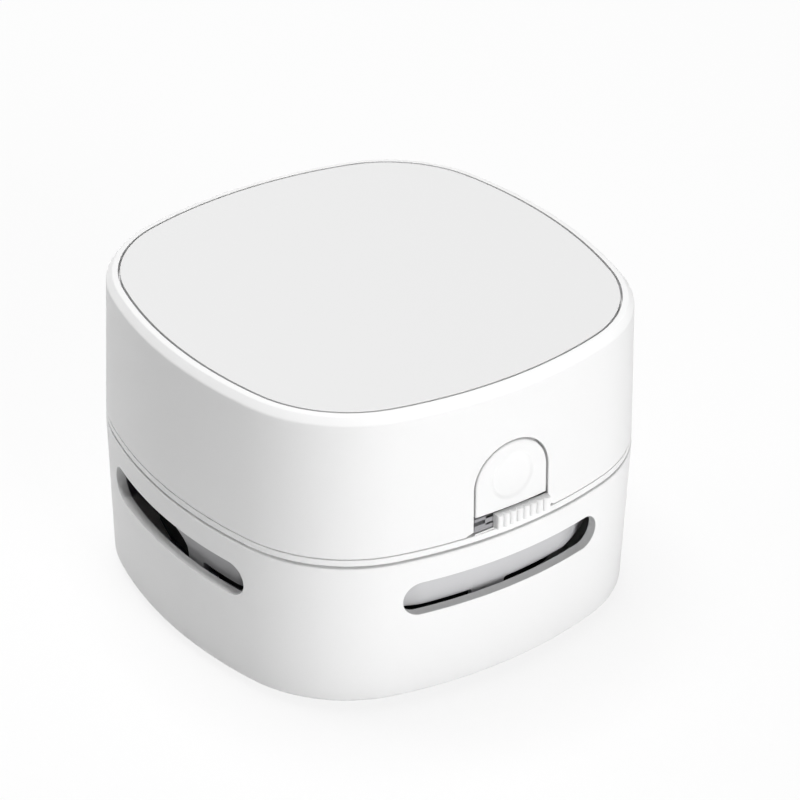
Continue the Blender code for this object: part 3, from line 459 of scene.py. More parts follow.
def screw_parts(profile, arm):
    """At each of the four screws, a profile turned about it, and an arm turned to its side."""
    points, faces = turned_part(profile)
    parts = []
    for k in range(4):
        angle = (k + 0.5) * QUARTER
        offset = round_points(screw_reach, angle, 0)
        parts += [(points + offset, faces), turn_part(arm, angle)]
    return parts


def block_part(low, high, radius=edge_radius):
    """A box with rounded edges: a sphere's points, each moved to the box's own corner on its side."""
    low, high = np.asarray(low, float), np.asarray(high, float)
    radius = min(radius, (high - low).min() * reach_share)
    quarter = np.linspace(0, QUARTER, block_steps + 1)
    round_angles = np.concatenate([quarter + k * QUARTER for k in range(4)])
    round_signs = np.repeat([[1, 1], [-1, 1], [-1, -1], [1, -1]], block_steps + 1, axis=0)
    rise = np.concatenate([quarter - QUARTER, quarter])
    rise_signs = np.repeat([-1, 1], block_steps + 1)
    normals = round_points(np.cos(rise)[:, None], round_angles, np.sin(rise)[:, None])
    signs = np.stack(np.broadcast_arrays(round_signs[:, 0], round_signs[:, 1], rise_signs[:, None]), axis=-1)
    points = (low + high) / 2 + signs * ((high - low) / 2 - radius) + radius * normals
    middle = np.broadcast_to(((low + high) / 2)[:2], (2, len(round_angles), 2))
    ends = np.concatenate([middle, points[[0, -1], :, 2:]], axis=-1)
    return grid_part(np.concatenate([ends[:1], points, ends[1:]]), wrap=True)


# Walls with an opening

def lower_inset(z):
    """How far the lower shell's outer side is drawn in at a height: a straight draft from foot to rim."""
    share = (z - shell_bottom) / (lower_top - shell_bottom)
    return lower_foot_inset - share * (lower_foot_inset + lower_lip_bulge)


def lower_inner_inset(z):
    """How far its inner side is drawn in: one wall from the outer side, at the floor and at the rim."""
    start = lower_inset(floor_top) + lower_wall
    share = (z - floor_top) / (lower_top - floor_top)
    return start + share * (lower_wall - lower_lip_bulge - start)


def upper_inset(z):
    """How far the upper shell's outer side is drawn in at a height."""
    return upper_draft * (z - upper_bottom) / (side_top - upper_bottom)


def upper_inner_inset(z):
    """How far its inner side is drawn in at a height."""
    return upper_wall + upper_draft * (z - upper_bottom) / (ledge_bottom - upper_bottom)


def front_depth(x, z, inset):
    """The y of the front's side arc at (x, z), drawn in by an inset that depends on z."""
    return -side_centre - np.sqrt((side_arc_radius - inset(z))**2 - x**2)


def stadium_contour(half_length, radius, height):
    """A round-ended slot's outline in (x, z) by how far it is grown, anticlockwise from the lower left."""
    end = np.linspace(-3 * math.pi / 4, -QUARTER, end_steps + 1)
    side = np.linspace(-math.pi / 4, math.pi / 4, level_steps + 1)
    bottom = np.concatenate([end, np.full(straight_steps - 1, -QUARTER), end + math.pi / 4])
    reach = half_length - radius
    bottom_x = np.concatenate([np.full(end_steps, -reach), np.linspace(-reach, reach, straight_steps + 1),
                               np.full(end_steps, reach)])
    angle = np.concatenate([bottom, side[1:], bottom[1:] + math.pi, side[1:-1] + math.pi])
    left_x, right_x = np.full(level_steps - 1, -reach), np.full(level_steps, reach)
    x = np.concatenate([bottom_x, right_x, -bottom_x[1:], left_x])

    def contour(growth):
        grown = radius + growth
        return np.stack([x + grown * np.cos(angle), height + grown * np.sin(angle)], axis=-1)

    return contour


def band_rim(band, inset):
    """The rim of a side's band of wall in (x, z), with a point for each of a closed contour's."""
    angles = side_angles()
    levels = np.linspace(*band, level_steps + 1)
    edge = (side_arc_radius - inset(levels)) * math.sin(joint_angle)
    low = (side_arc_radius - inset(band[0])) * np.sin(angles)
    high = (side_arc_radius - inset(band[1])) * np.sin(angles)
    bottom, top = np.full(side_steps + 1, band[0]), np.full(side_steps, band[1])
    x = np.concatenate([low, edge[1:], high[-2::-1], -edge[-2:0:-1]])
    z = np.concatenate([bottom, levels[1:], top, levels[-2:0:-1]])
    return np.stack([x, z], axis=-1)


def opening_rows(contour, rims, insets, rounding, collar=0):
    """Rows from a wall's outer rim in to an opening, round its edge, through the wall, out to the inner rim.

    Between rim and opening a row is a blend of the two outlines, laid on the wall's skin. The edge is a
    quarter circle: the outline grows by one minus the sine, and the depth by one minus the cosine. On the
    inside the wall swells towards the opening, by the collar in full at its edge.
    """
    blends = np.linspace(0, 1, skin_rows + 1)[:-1]
    bends = np.linspace(0, QUARTER, ease_steps + 1)
    skins = []
    for rim, inset, sign, swell in zip(rims, insets, (1, -1), (0, collar)):
        steps = [(rim + (contour(rounding) - rim) * blend, swell * blend) for blend in blends]
        steps += [(contour(rounding * (1 - math.sin(bend))), swell + sign * rounding * (1 - math.cos(bend)))
                  for bend in bends]
        skins.append([face_points(row, front_depth(*row.T, inset) + turned_in) for row, turned_in in steps])
    return np.stack(skins[0] + skins[1][::-1])


def skin_part(angles, is_corner, levels, inset, turn):
    """A plain piece of wall skin: stations by levels."""
    rows = [level_points(arc_points(angles, inset(level), is_corner), level) for level in levels]
    return turn_part(grid_part(np.stack(rows)), turn)


# Finishes

def scaled(colour, share):
    """A colour made darker or lighter, up to plain white."""
    return [min(value * share, 1) for value in colour]


class Finish:
    """A node material: even values on its shader, and patterns for its colour, gloss or surface."""

    def __init__(self, name, colour, roughness, metallic=0):
        self.material = bpy.data.materials.new(name)
        self.material.use_nodes = True
        self.nodes = self.material.node_tree.nodes
        self.links = self.material.node_tree.links
        self.shader = self.nodes["Principled BSDF"]
        self.shader.inputs["Base Color"].default_value = (*colour, 1)
        self.shader.inputs["Roughness"].default_value = roughness
        self.shader.inputs["Metallic"].default_value = metallic

    def place(self):
        """The object's own coordinates."""
        return self.nodes.new("ShaderNodeTexCoord").outputs["Object"]

    def noise(self, place, feature_size, detail=plain_detail):
        """Noise whose blobs are about the feature size across."""
        texture = self.nodes.new("ShaderNodeTexNoise")
        texture.inputs["Scale"].default_value = 1 / feature_size
        texture.inputs["Detail"].default_value = detail
        self.links.new(place, texture.inputs["Vector"])
        return texture.outputs["Fac"]

    def tint(self, pattern, first, second):
        """Lets the colour follow a pattern from the first to the second."""
        ramp = self.nodes.new("ShaderNodeValToRGB")
        low, high = ramp.color_ramp.elements
        low.position, high.position = pattern_low_share, pattern_high_share
        low.color, high.color = (*first, 1), (*second, 1)
        self.links.new(pattern, ramp.inputs["Fac"])
        self.links.new(ramp.outputs["Color"], self.shader.inputs["Base Color"])

    def gloss(self, pattern, low, high):
        """Lets the roughness follow a pattern from low to high."""
        spread = self.nodes.new("ShaderNodeMapRange")
        for name, value in (("From Min", pattern_low_share), ("From Max", pattern_high_share),
                            ("To Min", low), ("To Max", high)):
            spread.inputs[name].default_value = value
        self.links.new(pattern, spread.inputs["Value"])
        self.links.new(spread.outputs["Result"], self.shader.inputs["Roughness"])

    def bump(self, pattern, depth):
        """Lets a pattern raise the surface by a depth."""
        node = self.nodes.new("ShaderNodeBump")
        node.inputs["Distance"].default_value = depth
        node.inputs["Strength"].default_value = 1
        self.links.new(pattern, node.inputs["Height"])
        self.links.new(node.outputs["Normal"], self.shader.inputs["Normal"])


def moulded(name, colour, roughness, grain_size, grain_depth, flow_size, tint_share):
    """Moulded plastic: a fine grain, with a faint change of tone and gloss where the melt flowed."""
    finish = Finish(name, colour, roughness)
    place = finish.place()
    flow = finish.noise(place, flow_size)
    finish.tint(flow, scaled(colour, 1 - tint_share), scaled(colour, 1 + tint_share))
    finish.gloss(flow, roughness - gloss_shift, roughness + gloss_shift)
    finish.bump(finish.noise(place, grain_size), grain_depth)


def bristle_finish(colour):
    """Nylon strands, lighter here and there."""
    finish = Finish("bristle_nylon", colour, bristle_roughness)
    strand = finish.noise(finish.place(), strand_size)
    finish.tint(strand, colour, scaled(colour, tip_tint_share))


def paper_finish(colour):
    """Filter paper: pressed fibres."""
    finish = Finish("filter_paper", colour, paper_roughness)
    fibre = finish.noise(finish.place(), fibre_size, fibre_detail)
    finish.tint(fibre, scaled(colour, fibre_tint_share), colour)
    finish.bump(fibre, fibre_depth)


def steel_finish(colour):
    """Drawn steel: fine lines along the height, and a soft change of gloss."""
    finish = Finish("steel", colour, steel_roughness, metallic=1)
    stretch = finish.nodes.new("ShaderNodeMapping")
    stretch.inputs["Scale"].default_value = (1, 1, drawn_stretch_share)
    finish.links.new(finish.place(), stretch.inputs["Vector"])
    lines = finish.noise(stretch.outputs["Vector"], drawn_line_size, fine_detail)
    finish.gloss(lines, steel_low_roughness, steel_high_roughness)
    finish.bump(lines, drawn_line_depth)


def wrap_finish(colour):
    """The cell's shrink wrap: glossy film with a slight wrinkle."""
    finish = Finish("cell_wrap", colour, wrap_roughness)
    wrinkle = finish.noise(finish.place(), wrinkle_size, fine_detail)
    finish.tint(wrinkle, scaled(colour, wrinkle_tint_share), colour)
    finish.bump(wrinkle, wrinkle_depth)


def board_finish(colour):
    """The circuit board: lacquer over a checked run of tracks."""
    finish = Finish("board", colour, board_roughness)
    tracks = finish.nodes.new("ShaderNodeTexBrick")
    tracks.inputs["Scale"].default_value = tracks_per_metre
    for name, share in (("Color1", 1), ("Color2", track_tint_share), ("Mortar", lacquer_tint_share)):
        tracks.inputs[name].default_value = (*scaled(colour, share), 1)
    finish.links.new(finish.place(), tracks.inputs["Vector"])
    finish.links.new(tracks.outputs["Color"], finish.shader.inputs["Base Color"])
    finish.bump(tracks.outputs["Fac"], track_depth)


def make_finishes(colours):
    """Makes every finish, each under the record's name for its slot."""
    moulded("white_plastic", colours.white, **white_mould)
    moulded("panel_plastic", colours.panel, **panel_mould)
    moulded("grey_plastic", colours.grey, **grey_mould)
    moulded("guide_plastic", colours.guide, **guide_mould)
    moulded("black_plastic", colours.black, **black_mould)
    moulded("seal_rubber", colours.rubber, **rubber_mould)
    bristle_finish(colours.bristle)
    paper_finish(colours.paper)
    steel_finish(colours.steel)
    wrap_finish(colours.wrap)
    board_finish(colours.board)


# Pieces

def add_piece(name, parts, body, slot, *nodes):
    """Builds a piece in its slot's finish, sets it on its body and hides the nodes that it stands for."""
    piece = build_object(name, parts, bpy.data.materials[slot])
    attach(piece, body)
    if nodes:
        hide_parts(*nodes)


def foot_profile():
    """From the band down the outside, round the foot's rim and up to the floor, as (inset, height)."""
    low = lower_band[0]
    rim_inner = lower_foot_inset + foot_chamfer + foot_rim_width
    return eased([
        (lower_inset(low), low),
        (lower_foot_inset, shell_bottom + foot_chamfer),
        (lower_foot_inset + foot_chamfer, shell_bottom),
        (rim_inner, shell_bottom),
        (rim_inner, floor_bottom),
        (rim_inner + embed, floor_bottom),
    ], edge_radius)


def floor_profile():
    """Across the floor's underside, up its bore and out over the cup's wall, as (radius, height)."""
    channel_outer = strip_outer_radius + seat_gap
    channel_inner = strip_inner_radius - seat_gap
    channel_top = strip_top + seat_gap
    bore = throat_radius + funnel_wall + seat_gap
    return eased([
        (channel_outer + embed, floor_bottom),
        (channel_outer, floor_bottom),
        (channel_outer, channel_top),
        (channel_inner, channel_top),
        (channel_inner, floor_bottom),
        (bore, floor_bottom),
        (bore, floor_top),
        (cup_radius, floor_top),
        (cup_radius, cup_top),
        (cup_radius + cup_wall, cup_top),
        (cup_radius + cup_wall, floor_top),
        (cup_radius + cup_wall + embed, floor_top),
    ], edge_radius)


def lower_shell_parts():
    """The dust box: foot, floor and cup below the slots, the rim above them, and a pierced band between."""
    low, high = lower_band
    inner = eased([
        (lower_inner_inset(floor_top) + embed, floor_top),
        (lower_inner_inset(floor_top), floor_top),
        (lower_inner_inset(low), low),
    ], edge_radius)
    base = np.concatenate([case_rows(foot_profile()), round_rows(floor_profile()), case_rows(inner)])
    rim = eased([
        (lower_inset(high), high),
        (-lower_lip_bulge, lower_top),
        (lower_wall - lower_lip_bulge, lower_top),
        (lower_inner_inset(high), high),
    ], [lower_lip_radius, edge_radius])
    parts = [grid_part(base, wrap=True), grid_part(case_rows(rim), wrap=True)]
    levels = np.linspace(low, high, level_steps + 1)
    contour = stadium_contour(slot_half_length, slot_radius, slot_height)
    insets = (lower_inset, lower_inner_inset)
    rims = [band_rim(lower_band, inset) for inset in insets]
    slot = grid_part(opening_rows(contour, rims, insets, slot_edge_radius, slot_collar), wrap=True)
    for quarter in range(4):
        turn = quarter * QUARTER
        parts.append(turn_part(slot, turn))
        parts += [skin_part(corner_angles(), True, levels, inset, turn) for inset in insets]
    return parts


def lower_shell_ribs():
    """Eight ribs between the cup and the wall, and the two strikes that the latch hooks under."""
    parts = []
    wall = outline(lower_inner_inset(floor_top))
    directions = np.arctan2(wall[:, 1], wall[:, 0])
    for k in range(rib_count):
        angle = (k + 0.5) * FULL_TURN / rib_count
        nearest = np.argmin(np.abs(turned_by(directions, angle)))
        reach = np.linalg.norm(wall[nearest]) + embed
        rib = block_part((cup_radius + embed, -rib_width / 2, floor_top - embed),
                         (reach, rib_width / 2, rib_top))
        parts.append(turn_part(rib, angle))
    front = front_depth(strike_centre, strike_heights[0], lower_inner_inset) - embed
    for side in (-1, 1):
        x = side * strike_centre
        parts.append(block_part((x - strike_half_width, front, strike_heights[0]),
                                (x + strike_half_width, strike_back, strike_heights[1])))
    return parts


def arch_contour(growth):
    """The key's doorway in (x, z): up one jamb, over half an ellipse and down the other, grown outwards.

    Each jamb's foot is cut back by the flare's width, times one less the cube of its share of the height.
    """
    rise = (arch_spring_height - upper_bottom) * np.linspace(0, 1, jamb_steps + 1)**2
    jamb = upper_bottom + rise
    flare = flare_width * (1 - np.clip(rise / flare_height, 0, 1)**3)[:-1]
    crown_steps = side_steps + 2 * (level_steps - jamb_steps)
    angle = np.linspace(math.pi, 0, crown_steps + 1)
    width = arch_half_width + growth
    x = np.concatenate([-width - flare, width * np.cos(angle), width + flare[::-1]])
    z = np.concatenate([jamb[:-1], arch_spring_height + (arch_rise + growth) * np.sin(angle), jamb[-2::-1]])
    return np.stack([x, z], axis=-1)


def doorway_rim(inset):
    """The rim of the front's band of wall, up its left, along its top and down its right."""
    rim = band_rim((upper_bottom, upper_band_top), inset)
    rim = np.roll(rim, -side_steps, axis=0)
    return rim[:side_steps + 2 * level_steps + 1][::-1]


def upper_shell_parts():
    """The upper cover: a chamfered rim over a band of wall with the key's doorway and the socket's port."""
    top = eased([
        (upper_inset(upper_band_top), upper_band_top),
        (upper_draft, side_top),
        (chamfer_inset, chamfer_top),
        (groove_inset, lip_top),
        (groove_inset, ledge_top),
        (ledge_inset, ledge_top),
        (ledge_inset, ledge_bottom),
        (upper_wall + upper_draft, ledge_bottom),
        (upper_inner_inset(upper_band_top), upper_band_top),
    ], [soft_edge_radius, edge_radius, sharp_edge_radius] + [edge_radius] * 4)
    parts = [grid_part(case_rows(top), wrap=True)]
    band = (upper_bottom, upper_band_top)
    levels = np.linspace(*band, level_steps + 1)
    insets = (upper_inset, upper_inner_inset)
    doorway = opening_rows(arch_contour, [doorway_rim(inset) for inset in insets], insets, edge_radius)
    parts.append(grid_part(doorway))
    half = len(doorway) // 2
    for column in (0, -1):
        parts.append(grid_part(np.stack([doorway[:half, column], doorway[:half - 1:-1, column]])))
    contour = stadium_contour(port_half_length, port_radius, port_height)
    port = opening_rows(contour, [band_rim(band, inset) for inset in insets], insets, edge_radius)
    parts.append(turn_part(grid_part(port, wrap=True), 2 * QUARTER))
    for quarter in range(4):
        turn = quarter * QUARTER
        plain = [(corner_angles(), True)]
        if quarter % 2:
            plain.append((side_angles(), False))
        for angles, is_corner in plain:
            parts += [skin_part(angles, is_corner, levels, inset, turn) for inset in insets]
        if quarter:
            plain = [(corner_angles(), True), (side_angles(), False)]
        for angles, is_corner in plain:
            edges = [level_points(arc_points(angles, inset(upper_bottom), is_corner), upper_bottom)
                     for inset in insets]
            parts.append(turn_part(grid_part(np.stack(edges)), turn))
    return parts


def screw_post_parts():
    """Four bored posts under the panel's ledge, each tied to its corner by a web."""
    post_top = ledge_bottom + embed
    profile = [(0, post_bore_top), (post_bore_radius, post_bore_top), (post_bore_radius, upper_bottom),
               (post_radius, upper_bottom), (post_radius, post_top), (0, post_top)]
    start = screw_reach + post_bore_radius + embed
    reach = corner_centre * math.sqrt(2) + corner_radius - upper_wall
    web = block_part((start, -post_web_width / 2, upper_bottom + post_web_width),
                     (reach, post_web_width / 2, post_top))
    return screw_parts(profile, web)


def top_panel_parts():
    """The flush panel: its edge and its rib below, closed above and below by rings that shrink to a point."""
    rib_outer = ledge_inset + seat_gap
    profile = eased([
        (rib_outer + panel_rib_width + embed, panel_bottom),
        (rib_outer + panel_rib_width, panel_bottom),
        (rib_outer + panel_rib_width, panel_bottom - panel_rib_depth),
        (rib_outer, panel_bottom - panel_rib_depth),
        (rib_outer, panel_bottom),
        (panel_inset, panel_bottom),
        (panel_inset, lip_top),
        (panel_inset + embed, lip_top),
    ], sharp_edge_radius)
    rows = case_rows(profile)
    middles = [np.broadcast_to([0, 0, z], rows[:1].shape) for z in (panel_bottom, lip_top)]
    return [grid_part(np.concatenate([middles[0], rows, middles[1]]), wrap=True)]


def key_contour(margin, inward=0):
    """The key's arch in (x, z): from the lower left, along the bottom, up, over the crown and down."""
    width = key_half_width + margin - inward
    low = key_bottom + inward
    crown = np.linspace(0, math.pi, crown_points)
    bottom = np.linspace(-1, 1, bottom_points)[:-1]
    jamb = np.linspace(0, 1, jamb_points)[:-1]
    x = np.concatenate([width * bottom, np.full(len(jamb), width), width * np.cos(crown),
                        np.full(len(jamb) - 1, -width)])
    z = np.concatenate([np.full(len(bottom), low), low + (arch_spring_height - low) * jamb,
                        arch_spring_height + (key_rise + margin - inward) * np.sin(crown),
                        (low + (arch_spring_height - low) * jamb[::-1])[:-1]])
    return np.stack([x, z], axis=-1)


def key_face_depth(x, z):
    """The y of the key's face: the case's own side, less a round dimple.

    The dimple is a bowl, the root of one less the square of the way out. Over its lip it fades by three
    times the square less twice the cube of the way in.
    """
    flush = front_depth(x, z, lambda height: upper_inset(height) + key_flush_inset)
    away = np.hypot(x, z - dimple_height)
    share = np.clip((dimple_radius + dimple_lip / 2 - away) / dimple_lip, 0, 1)
    bowl = np.clip(1 - (away / (dimple_radius + dimple_lip))**2, 0, 1)
    return flush + dimple_depth * np.sqrt(bowl) * share**2 * (3 - 2 * share)


def push_key_parts():
    """The key: rings from the dimple's middle out to the arch, over its edge and back to the flange."""
    edge = key_contour(0, soft_edge_radius)
    towards = np.arctan2(edge[:, 1] - dimple_height, edge[:, 0])
    ring = flat_points(1, towards)
    middle = np.array([0, dimple_height])
    dimple_rings = np.linspace(0, dimple_radius + dimple_lip, dimple_rows)
    blends = np.linspace(0, 1, face_rows)[1:-1]
    outer = middle + ring * dimple_rings[-1]
    flat = [middle + ring * radius for radius in dimple_rings]
    flat += [outer + (edge - outer) * blend for blend in blends]
    rows = [face_points(row, key_face_depth(*row.T)) for row in flat]
    for bend in np.linspace(0, QUARTER, ease_steps + 1):
        row = key_contour(0, soft_edge_radius * (1 - math.sin(bend)))
        rows.append(face_points(row, key_face_depth(*row.T) + soft_edge_radius * (1 - math.cos(bend))))
    for margin, depth in ((0, key_flange_front), (key_flange_margin, key_flange_front),
                          (key_flange_margin, key_flange_back)):
        rows.append(face_points(key_contour(margin), depth))
    rows.append(np.broadcast_to([0, key_flange_back, dimple_height], rows[0].shape))
    return [grid_part(np.stack(rows), wrap=True)]


def slide_knob_parts():
    """The knob: a rounded section in (y, z) carried along x, whose front follows the ribs' scallops."""
    pitch = (knob_right - knob_left) / knob_rib_count
    columns = round(1 / knob_column_share)
    count = columns * knob_rib_count
    x = np.linspace(knob_left, knob_right, count + 1)
    phase = (x - knob_left) / pitch
    # a low power of the sine gives a broad crest and a narrow groove; the knob's two ends have no groove
    scallop = 1 - np.abs(np.sin(phase * math.pi))**rib_sharpness_share
    scallop[:columns // 2] = 0
    scallop[-(columns // 2):] = 0
    front = knob_front + knob_groove_depth * scallop
    low, high = knob_heights
    bend = np.linspace(0, QUARTER, ease_steps + 1)
    radius = soft_edge_radius
    section_y = np.concatenate([[1], radius * (1 - np.sin(bend)), radius * (1 - np.cos(bend)), [1]])
    is_back = np.concatenate([[True], np.zeros(2 * len(bend), bool), [True]])
    section_z = np.concatenate([[low], low + radius * (1 - np.cos(bend)),
                                high - radius * (1 - np.sin(bend)), [high]])
    ends = np.minimum(np.minimum(x - knob_left, knob_right - x) / radius, 1)
    pull = radius * (1 - np.sqrt(1 - (1 - ends)**2))
    y = np.where(is_back[:, None], knob_back, front + section_y[:, None] + pull)
    z = np.broadcast_to(section_z[:, None], y.shape)
    points = np.stack([np.broadcast_to(x, y.shape), y, z], axis=-1)
    points = np.concatenate([points, points[:1]])
    parts = [grid_part(points)]
    for end, side in ((0, knob_left), (-1, knob_right)):
        parts.append(cap_part(points[:, end], [side, (knob_front + knob_back) / 2, (low + high) / 2]))
    middle = (knob_left + knob_right) / 2
    parts.append(block_part((middle - stem_half_width, knob_back - embed, stem_heights[0]),
                            (middle + stem_half_width, stem_back, stem_heights[1])))
    return parts


def switch_guide_parts():
    """The guide: a plate with a short slit at the left, as the bars below, beside, above and behind it."""
    low, high = guide_heights
    slit_low, slit_high = guide_slit_heights
    left, right = -guide_half_width, guide_half_width
    bars = [(left, guide_front, low, slit_low), (guide_slit_end, guide_front, slit_low - embed, high),
            (left, guide_front, slit_high, high), (left, guide_slit_back, low, high)]
    return [block_part((start, front, bottom), (right, guide_back, top), sharp_edge_radius)
            for start, front, bottom, top in bars]


def bowl_rim_radius(angles):
    """The rim runs beside the case's outline, but no further out than the bowl's reach."""
    rim = outline(bowl_rim_inset)
    directions = np.arctan2(rim[:, 1], rim[:, 0])
    order = np.argsort(directions)
    radius = np.interp(angles, directions[order], np.linalg.norm(rim, axis=1)[order], period=FULL_TURN)
    return np.minimum(radius, bowl_reach)


def housing_columns():
    """Angles of the bowl's columns and how low each reaches: the rim, up over two arches, down four tabs.

    An arch rises as half an ellipse over its sweep. A tab has a small fillet at each side where it leaves
    the rim, and its foot's corners are chamfered.
    """
    angles = [np.arange(bowl_columns) * FULL_TURN / bowl_columns]
    spread = outlet_half_sweep * np.sin(np.linspace(-QUARTER, QUARTER, outlet_points))
    for side in (0, math.pi):
        angles.append(side - outlet_turn + spread)
    for turn, half_width in zip(tab_turns, tab_half_widths):
        offsets = np.concatenate([half_width + tab_fillet * np.linspace(0, 1, tab_points),
                                  [half_width - tab_step, half_width - tab_chamfer]])
        angles.append(turn + np.concatenate([offsets, -offsets]) / bowl_reach)
    angles = np.unique(np.round(np.concatenate(angles) % FULL_TURN, ANGLE_DIGITS))
    low = np.full(len(angles), bowl_bottom)
    for side in (0, math.pi):
        offset = turned_by(angles, side - outlet_turn) / outlet_half_sweep
        low = low + outlet_height * np.sqrt(np.clip(1 - offset**2, 0, 1))
    for turn, half_width in zip(tab_turns, tab_half_widths):
        away = np.abs(turned_by(angles, turn)) * bowl_reach
        share = np.clip((half_width + tab_fillet - away) / tab_fillet, 0, 1)
        fillet = low - tab_fillet * (1 - np.sqrt(1 - share**2))
        foot = tab_bottom + np.clip(tab_chamfer - (half_width - away), 0, tab_chamfer)
        low = np.where(away < half_width - tab_step / 2, foot, fillet)
    return angles, low


def fan_housing_parts():
    """The bowl: each column is an ellipse from its lower edge to the crown, outside and then inside."""
    angles, low = housing_columns()
    rise = bowl_top - bowl_bottom
    run = bowl_rim_radius(angles) - crown_radius
    share = np.linspace(0, 1, bowl_rows)[:, None]

    def wall(inset):
        start = np.arcsin(np.clip((low - bowl_bottom) / (rise - inset), 0, 1))
        bend = start + (QUARTER - start) * share
        radius = crown_radius + (run - inset) * np.cos(bend)
        height = bowl_bottom + (rise - inset) * np.sin(bend)
        height[0] = low
        return round_points(radius, angles, height)

    outer = wall(0)
    inner = wall(bowl_wall)
    hole = [round_points(boss_bore_radius, angles, height) for height in (bowl_top, bowl_top - bowl_wall)]
    bowl = grid_part(np.concatenate([outer, hole, inner[::-1], outer[:1]]), wrap=True)
    under, over = lug_heights
    disc = eased([(0, under), (lug_radius, under), (lug_radius, over), (0, over)], edge_radius)
    arm = block_part((crown_radius, -lug_radius, under), (screw_reach, lug_radius, over))
    return [bowl] + screw_parts(disc, arm)


def trim_band_parts():
    """A smooth rim round the chassis plate, seen between the two shells, and the sill before the guide."""
    profile = eased([
        (trim_depth, deck_bottom - trim_reach),
        (-trim_reach, deck_bottom - trim_reach),
        (-trim_reach, deck_top + trim_reach),
        (trim_depth, deck_top + trim_reach),
    ], edge_radius, closed=True)
    sill = block_part((-guide_half_width, guide_front - sill_width, deck_top - sill_width),
                      (guide_half_width, guide_front, sill_top), sharp_edge_radius)
    return [grid_part(case_rows(profile), wrap=True), sill]


def strip_backing_parts(middle):
    """A strip's backing: a rounded section swept about the fan's axis, closed at both ends."""
    angle = middle + np.linspace(-0.5, 0.5, strip_stations) * strip_sweep
    section = eased([(strip_inner_radius, strip_bottom), (strip_outer_radius, strip_bottom),
                     (strip_outer_radius, strip_top), (strip_inner_radius, strip_top)],
                    edge_radius, closed=True)
    backing = round_points(section[:, :1], angle, section[:, 1:])
    ends = [cap_part(backing[:, end], backing[:, end].mean(axis=0)) for end in (0, -1)]
    return [grid_part(backing)] + ends


def bristles_part(middle, chance):
    """A strip's bristles, in tufts: thin spikes that lean out by the square of their length's share."""
    across = (np.arange(tufts_across) + 0.5) / tufts_across
    along = (np.arange(tufts_along) + 0.5) / tufts_along - 0.5
    radius, angle = np.meshgrid(strip_inner_radius + across * (strip_outer_radius - strip_inner_radius),
                                middle + along * strip_sweep)
    tufts = flat_points(radius, angle).reshape(-1, 1, 2)
    shape = (len(tufts), bristles_per_tuft)
    away = tuft_spread * np.sqrt(chance.random(shape))
    lean = flat_points(away, chance.random(shape) * FULL_TURN)
    root = (tufts + lean).reshape(-1, 1, 2)
    tip = (tufts + lean * (1 + bristle_flare / tuft_spread)
           + chance.normal(0, bristle_scatter, (*shape, 2))).reshape(-1, 1, 2)
    ring = flat_points(bristle_radius, np.arange(bristle_corners) * FULL_TURN / bristle_corners)
    levels = []
    for share in bristle_level_shares:
        spot = root + (tip - root) * share**2 + ring
        height = np.full((*spot.shape[:2], 1), (strip_bottom + embed) * (1 - share))
        levels.append(np.concatenate([spot, height], axis=-1))
    points = np.stack(levels, axis=1)
    first_end = np.array([[0, 1, 2, 2]])
    last_end = first_end + bristle_corners * (len(levels) - 1)
    sides = grid_faces(len(levels), bristle_corners, wrap=True)
    starts = np.arange(len(points)) * bristle_corners * len(levels)
    faces = np.concatenate([sides, last_end, first_end]) + starts[:, None, None]
    return points.reshape(-1, 3), faces.reshape(-1, 4)


def brush_strip_parts(number):
    """One strip's backing and bristles. Its number seeds the bristles' chance."""
    middle = (number - 0.5) * FULL_TURN / strip_count
    return strip_backing_parts(middle) + [bristles_part(middle, np.random.default_rng(number))]


# Settings, operators and panel

def colour_setting(name, description, colour):
    """A colour that a user may set."""
    return bpy.props.FloatVectorProperty(name=name, description=description, default=colour, min=0, max=1,
                                         subtype="COLOR")


def length_setting(name, description, length):
    """A length, in metres."""
    return bpy.props.FloatProperty(name=name, description=description, default=length, min=0, unit="LENGTH")


def power_setting(name, description, power):
    """A lamp's power, in watts."""
    return bpy.props.FloatProperty(name=name, description=description, default=power, min=0, unit="POWER")


def place_setting(name, description, place):
    """A place, in metres."""
    return bpy.props.FloatVectorProperty(name=name, description=description, default=place,
                                         subtype="TRANSLATION", unit="LENGTH")


def turn_setting(name, description, degrees):
    """An angle, given in degrees."""
    return bpy.props.FloatProperty(name=name, description=description, default=math.radians(degrees),
                                   subtype="ANGLE", unit="ROTATION")


class FinishColours(bpy.types.PropertyGroup):
    """The colours that a user may want to change."""
    white: colour_setting("White", "Both shells, the key and the knob", (0.86, 0.86, 0.865))
    panel: colour_setting("Panel", "The flush top panel", (0.78, 0.78, 0.785))
    grey: colour_setting("Housing grey", "The fan housing behind the slots", (0.84, 0.84, 0.845))
    guide: colour_setting("Guide grey", "The guide behind the knob", (0.30, 0.30, 0.31))
    black: colour_setting("Black", "The plastic parts inside", (0.012, 0.012, 0.013))
    rubber: colour_setting("Rubber", "The seal and the motor's sleeve", (0.025, 0.025, 0.025))
    bristle: colour_setting("Bristle", "The bristle strips", (0.035, 0.035, 0.038))
    paper: colour_setting("Paper", "The pleated filter", (0.72, 0.70, 0.65))
    steel: colour_setting("Steel", "Motor, shaft, screws, spring and socket", (0.62, 0.62, 0.63))
    wrap: colour_setting("Cell wrap", "The battery cell's film", (0.08, 0.20, 0.42))
    board: colour_setting("Board", "The charging board", (0.02, 0.15, 0.06))


